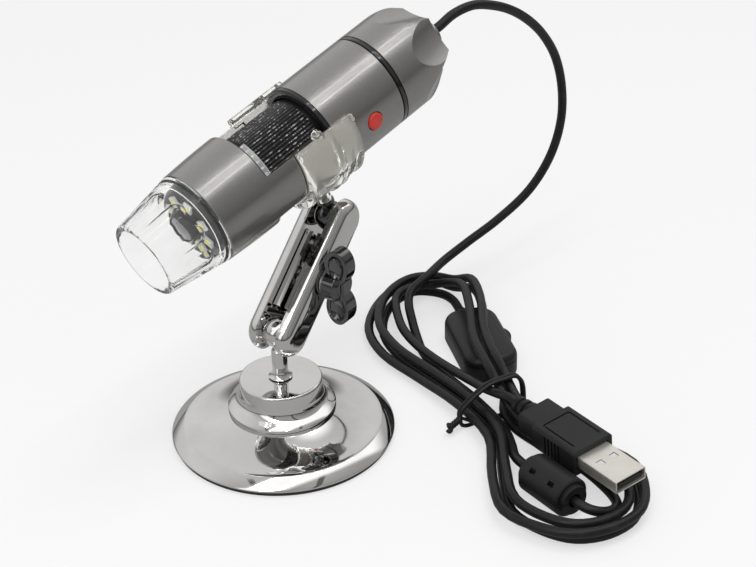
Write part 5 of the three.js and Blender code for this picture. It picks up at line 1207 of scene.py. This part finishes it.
# Plug
def addPlug():
    p = plug
    narrow = p["rear"]
    neck = -p["length"] * 0.72
    front = block((-neck - 0.5, p["width"], p["height"]), (neck / 2 + 0.25, 0, 0), corner=p["corner"], axis=0)
    rear = block((p["length"] + neck + 1, p["width"] * narrow, p["height"] * narrow),
                 ((neck - p["length"] + 1) / 2, 0, 0), corner=p["corner"], axis=0)
    changes = [("UNION", rear),
               ("DIFFERENCE", block((4, p["shellWidth"] + 0.6, p["shellHeight"] + 0.6)))]
    for side in (-1, 1):
        top = side * p["height"] / 2
        panel = block((p["panelLength"], p["panelWidth"], 0.9), (p["panelPlace"], 0, top), corner=0.8)
        inside = block((p["panelLength"], p["panelWidth"] - 1.2, 2), (p["panelPlace"] + 0.7, 0, top), corner=0.5)
        frameCut = shaped(panel, ("DIFFERENCE", inside))
        changes.append(("DIFFERENCE", frameCut))
        for i in range(5):
            changes.append(("DIFFERENCE", block((0.75, 1, p["height"] - 2.4),
                                                (-7.2 - 1.6 * i, side * p["width"] / 2, 0))))
    body = addPiece("plug_body_dressed", shaped(front, *changes), plugFrame, "base", ["plug_body"], "black_satin",
                    "matte", edge=0.2, segments=3)
    relief = ribbedSleeve(p["reliefRadius"], p["reliefTip"] + 0.2, p["reliefLength"], 3, 0.1)
    relief = moved(relief, (-p["length"] - 0.3, 0, 0), ("Y", -90))
    relief = addPiece("plug_relief_dressed", relief, plugFrame, "base", ["plug_relief"], "cord_black", "sheath")
    length = p["shellLength"] + p["sunk"]
    shell = block((length, p["shellWidth"], p["shellHeight"]), (p["shellLength"] / 2 - p["sunk"] / 2, 0, 0),
                  corner=0.5, segments=3, axis=0)
    hollow = block((length, p["shellWidth"] - 2 * p["sheet"], p["shellHeight"] - 2 * p["sheet"]),
                   (p["shellLength"] / 2 - p["sunk"] / 2 + p["sheet"], 0, 0), corner=0.25, segments=2, axis=0)
    changes = [("DIFFERENCE", hollow)]
    for across in (-1, 1):
        changes.append(("DIFFERENCE", block((p["window"], p["window"], 12),
                                            (p["windowPlace"], across * p["windowSpacing"] / 2, 0))))
    changes.append(("DIFFERENCE", block((30, 0.12, 1.2), (8, 0, -p["shellHeight"] / 2))))
    shell = addPiece("plug_shell_dressed", shaped(shell, *changes), plugFrame, "base", ["plug_shell"], "nickel",
                     "nickel", edge=0.06)
    start = -p["sunk"] + p["sheet"] + 0.3
    tongue = block((p["shellLength"] - start - 1, p["tongueWidth"], p["tongueHeight"]),
                   ((p["shellLength"] + start - 1) / 2, 0, -p["shellHeight"] / 2 + p["sheet"] + 0.3 + p["tongueHeight"] / 2))
    tongue = addPiece("plug_tongue_dressed", tongue, plugFrame, "base", ["plug_tongue"], "black_satin", "satin",
                      edge=0.1)
    springs = bmesh.new()
    for across in (-1, 1):
        tab = block((p["window"] - 0.3, p["window"] - 0.3, 0.4), edge=0.08)
        moved(tab, (p["windowPlace"], across * p["windowSpacing"] / 2, p["shellHeight"] / 2 - 0.36))
        added(springs, tab)
    springs = addPiece("plug_window_tabs", springs, plugFrame, "base", [], "nickel", "ceramic")
    contacts = bmesh.new()
    top = -p["shellHeight"] / 2 + p["sheet"] + 0.3 + p["tongueHeight"]
    for across in (-3.5, -1, 1, 3.5):
        strip = block((8.6, 1, 0.16), (p["shellLength"] - 6.2, across, top + 0.06), edge=0.03)
        added(contacts, strip)
    contacts = addPiece("plug_contacts", contacts, plugFrame, "base", [], "brass", "brass")
    return [body, relief, shell, tongue, springs, contacts]


# Tie round the hank's waist, with its ends twisted together at one side
tie = {"half": 11.3, "top": 15, "thick": 0.7, "low": 0.8, "wire": 0.68, "spread": 1.25,
       "shares": [(-0.88, 0.01), (-1.02, 0.1), (-1.02, 0.42), (-0.82, 0.6), (-0.3, 0.88), (0, 0.97), (0.4, 0.99),
                  (0.72, 0.986), (0.9, 0.84), (0.98, 0.64), (0.98, 0.1), (0.88, 0.01), (0.5, 0), (-0.5, 0)]}


def addTie():
    across = hankPoint(0, 1, 0) - hankPoint(0, 0, 0)
    tieFrame = frameAt(hankPoint(0, 0, 0), across, across.cross(Vector((0, 0, 1))))
    loop = [Vector((x * (tie["half"] + 0.2), tie["low"] + y * (tie["top"] - tie["thick"]))) for x, y in tie["shares"]]
    count = len(loop)
    wire = [Vector((p.x, p.y + 0.1, tie["spread"] * (2 * i / (2 * count) - 1)))
            for i, p in enumerate(loop[j % count] for j in range(1, 2 * count))]
    wires = [(splinePoints(wire, 6), tie["wire"])]
    for side in (-1, 1):
        tail = [wire[0 if side < 0 else -1]]
        for i in range(37):
            share = i / 36
            turn = share * fullTurn * 2.6 + (0 if side > 0 else math.pi)
            wide = tie["wire"] * 0.95 + max(share - 0.72, 0) * 3
            tail.append(Vector((-tie["half"] - 1 - share * 5, 4.4 - share * 1.2 + math.cos(turn) * wide,
                                math.sin(turn) * wide + share * 1.5)))
        wires.append((splinePoints(tail, 2), tie["wire"] * 0.9))
    band = bmesh.new()
    for line, radius in wires:
        source = tubeMesh("wire", [p / unit * unit for p in line], radius, 3)
        mesh = source.data
        for v in mesh.vertices:
            v.co = v.co / unit
        band.from_mesh(mesh)
        bpy.data.meshes.remove(mesh)
    return addPiece("hank_tie_dressed", band, tieFrame, "base", ["hank_tie"], "cord_black", "sheath")


for stage in (addBase, addArm, addKnob, addNose, addBarrels, addLabel, addDrum, addTail, addOptics, addHolder):
    stage()
    print(stage.__name__, "done")
dimmerPieces = addDimmer()
ferritePieces = addFerrite()
plugPieces = addPlug()
tiePiece = addTie()
print("pieces on the cord done")


def floorCord(name, line, node):
    obj = tubeMesh(name, line, cord["radius"])
    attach(obj, "base")
    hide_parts(node)
    declareCord(line)


nodes = frame["nodes"]
floorCord("cord_run_dressed", runLine, "cord_run")
floorCord("cord_hank_dressed", hankLine, "cord_hank")
floorCord("cord_plug_run_dressed", plugLine, "cord_plug_run")
print("cords laid")

# Pieces that stay as the frame has them
kept = {"base_weight": "iron", "stud_screw": "steel", "knob_insert": "brass", "sensor_carrier": "satin",
        "sensor_board": "board", "image_sensor": "chip", "switch_board": "board", "snap_switch": "satin",
        "dimmer_pot": "steel", "ferrite_bead": "iron"}
for name, finishName in kept.items():
    mesh = nodes[name].data
    for index in range(max(len(mesh.materials), 1)):
        if mesh.materials:
            mesh.materials[index] = finishes[finishName].material
        else:
            mesh.materials.append(finishes[finishName].material)

# Floor, world and lamps. The ground frame has x to the camera's right and y away from it
# the floor's grey for glossy rays is a painted dark reflection, not its lit white
studio = {"floorSize": 6, "floorLevel": 0.94, "floorGlow": 0.6, "sky": 0.5, "softboxPlace": (0, -0.31, 0.98),
          "heights": [(0.0, 0.3), (0.5, 0.12), (0.54, 0.32), (0.6, 0.7), (0.75, 0.8), (0.9, 0.72), (1.0, 0.68)],
          "paintedFloorReflection": 0.16, "softbox": 1.4, "softboxEdge": (0.12, 0.24), "streak": (0.33, 0.35, 0.4, 0.42), "height": 0.08,
          "lamps": {"softbox": ((0, -0.31, 0.98), (1.7, 0.4), 5.0), "near_strip": ((0, -0.52, 0.9), (1.7, 0.02), 1.5),
                    "far_strip": ((0, -0.12, 1.0), (1.7, 0.015), 1.0)}}


def fromGround(place):
    return Matrix.Rotation(-math.radians(camera["heading"]), 3, "Z") @ Vector(place)


def lampAxes(place):              # toward the lamp, and across its long side
    back = fromGround(place).normalized()
    side = (Vector((0, 1, 0)) - back * back.y).normalized()
    return back, side


def addFloor():
    bm = bmesh.new()
    bmesh.ops.create_grid(bm, x_segments=1, y_segments=1, size=studio["floorSize"] / 2)
    bmesh.ops.translate(bm, vec=(0, 0, -0.0001), verts=bm.verts)
    floor = looseObject(bm, "floor")
    f = Finish("floor_white", Roughness=0.6, Specular_IOR_Level=0.2)
    cloud = f.noise(3, 2)
    f.give("Base Color", f.mixed(cloud, grey(studio["floorLevel"]), grey(studio["floorLevel"] + 0.02)))
    glow = f.node("ShaderNodeEmission", None, {"Color": grey(1.0), "Strength": 1.0})
    seen, clear, mirrored = (f.node("ShaderNodeLightPath", output=f"Is {kind} Ray")
                             for kind in ("Camera", "Transmission", "Glossy"))
    # painted reflection: glossy rays see the floor as a flat dim grey, so metal shows a darker floor than the lit one
    dim = f.node("ShaderNodeEmission", None, {"Color": grey(studio["paintedFloorReflection"]), "Strength": 1.0})
    surface = Channel(f, f.shader.outputs[0])
    surface = f.node("ShaderNodeMixShader", None, [mirrored * studio["floorGlow"], surface, dim])
    f.feed(f.tree.nodes["Material Output"].inputs["Surface"],
           f.node("ShaderNodeMixShader", None, [seen * studio["floorGlow"] + clear * 0.85, surface, glow]))
    floor.data.materials.append(f.material)


def addWorld():                   # white where it is looked at, a studio where metal mirrors it
    world = bpy.data.worlds.new("studio")
    scene.world = world
    world.use_nodes = True
    w = Recipe(world.node_tree)
    path = w.tree.nodes.new("ShaderNodeLightPath")
    camRay, glossRay, clearRay = (Channel(w, path.outputs[key]) for key in (
        "Is Camera Ray", "Is Glossy Ray", "Is Transmission Ray"))
    place = w.node("ShaderNodeTexCoord", output="Generated")
    ground = w.node("ShaderNodeMapping", None, {"Vector": place, "Rotation": (0, 0, math.radians(camera["heading"]))})
    split = w.tree.nodes.new("ShaderNodeSeparateXYZ")
    w.feed(split.inputs[0], ground)
    right, away, up = (Channel(w, output) for output in split.outputs)
    stops = [(position, grey(level)) for position, level in studio["heights"]]
    level = w.node("ShaderNodeValToRGB", {"stops": stops}, [up * 0.5 + 0.5])
    level = w.node("ShaderNodeRGBToBW", None, [level])
    level = level * w.ranged(right, 0.2, 0.95, 1.0, 0.5) * w.ranged(away, -0.8, 0.2, 0.5, 1.0)
    beside = w.node("ShaderNodeMath", {"operation": "ABSOLUTE"}, [right])
    start, full, fade, end = studio["streak"]
    streak = w.ranged(beside, start, full) * w.ranged(beside, fade, end, 1.0, 0.0) * w.ranged(away, -0.1, -0.25)
    level = level * (1 - streak * 0.7)
    back, side = lampAxes(studio["softboxPlace"])
    across = w.node("ShaderNodeVectorMath", {"operation": "DOT_PRODUCT"}, [place, side], output="Value")
    facing = w.node("ShaderNodeVectorMath", {"operation": "DOT_PRODUCT"}, [place, back], output="Value")
    across = w.node("ShaderNodeMath", {"operation": "ABSOLUTE"}, [across])
    box = w.ranged(across, *studio["softboxEdge"], 1.0, 0.0) * w.ranged(facing, 0.15, 0.5)
    level = level * (1 - box) + box * studio["softbox"]
    mirrored = w.node("ShaderNodeBackground", None, {"Color": level, "Strength": 1.0})
    white = w.node("ShaderNodeBackground", None, {"Color": grey(1.0), "Strength": 1.0})
    soft = w.node("ShaderNodeBackground", None, {"Color": grey(1.0), "Strength": studio["sky"]})
    lit = w.node("ShaderNodeMixShader", None, [glossRay, soft, mirrored])
    w.feed(w.tree.nodes["World Output"].inputs["Surface"],
           w.node("ShaderNodeMixShader", None, [w.node("ShaderNodeMath", {"operation": "MAXIMUM"}, [camRay, clearRay]),
                                               lit, white]))


def addLamps():                   # each lies along the tube, over it
    for name, (place, (long, wide), power) in studio["lamps"].items():
        data = bpy.data.lights.new(name, "AREA")
        data.shape = "RECTANGLE"
        data.size = long
        data.size_y = wide
        data.energy = power
        obj = bpy.data.objects.new(name, data)
        scene.collection.objects.link(obj)
        obj.visible_glossy = name != "softbox"
        back, side = lampAxes(place)
        turn = Matrix((side.cross(back), side, back)).transposed().to_4x4()
        obj.matrix_world = Matrix.Translation(fromGround(place) + Vector((0, 0, studio["height"]))) @ turn


addFloor()
addWorld()
addLamps()
print("studio lit")
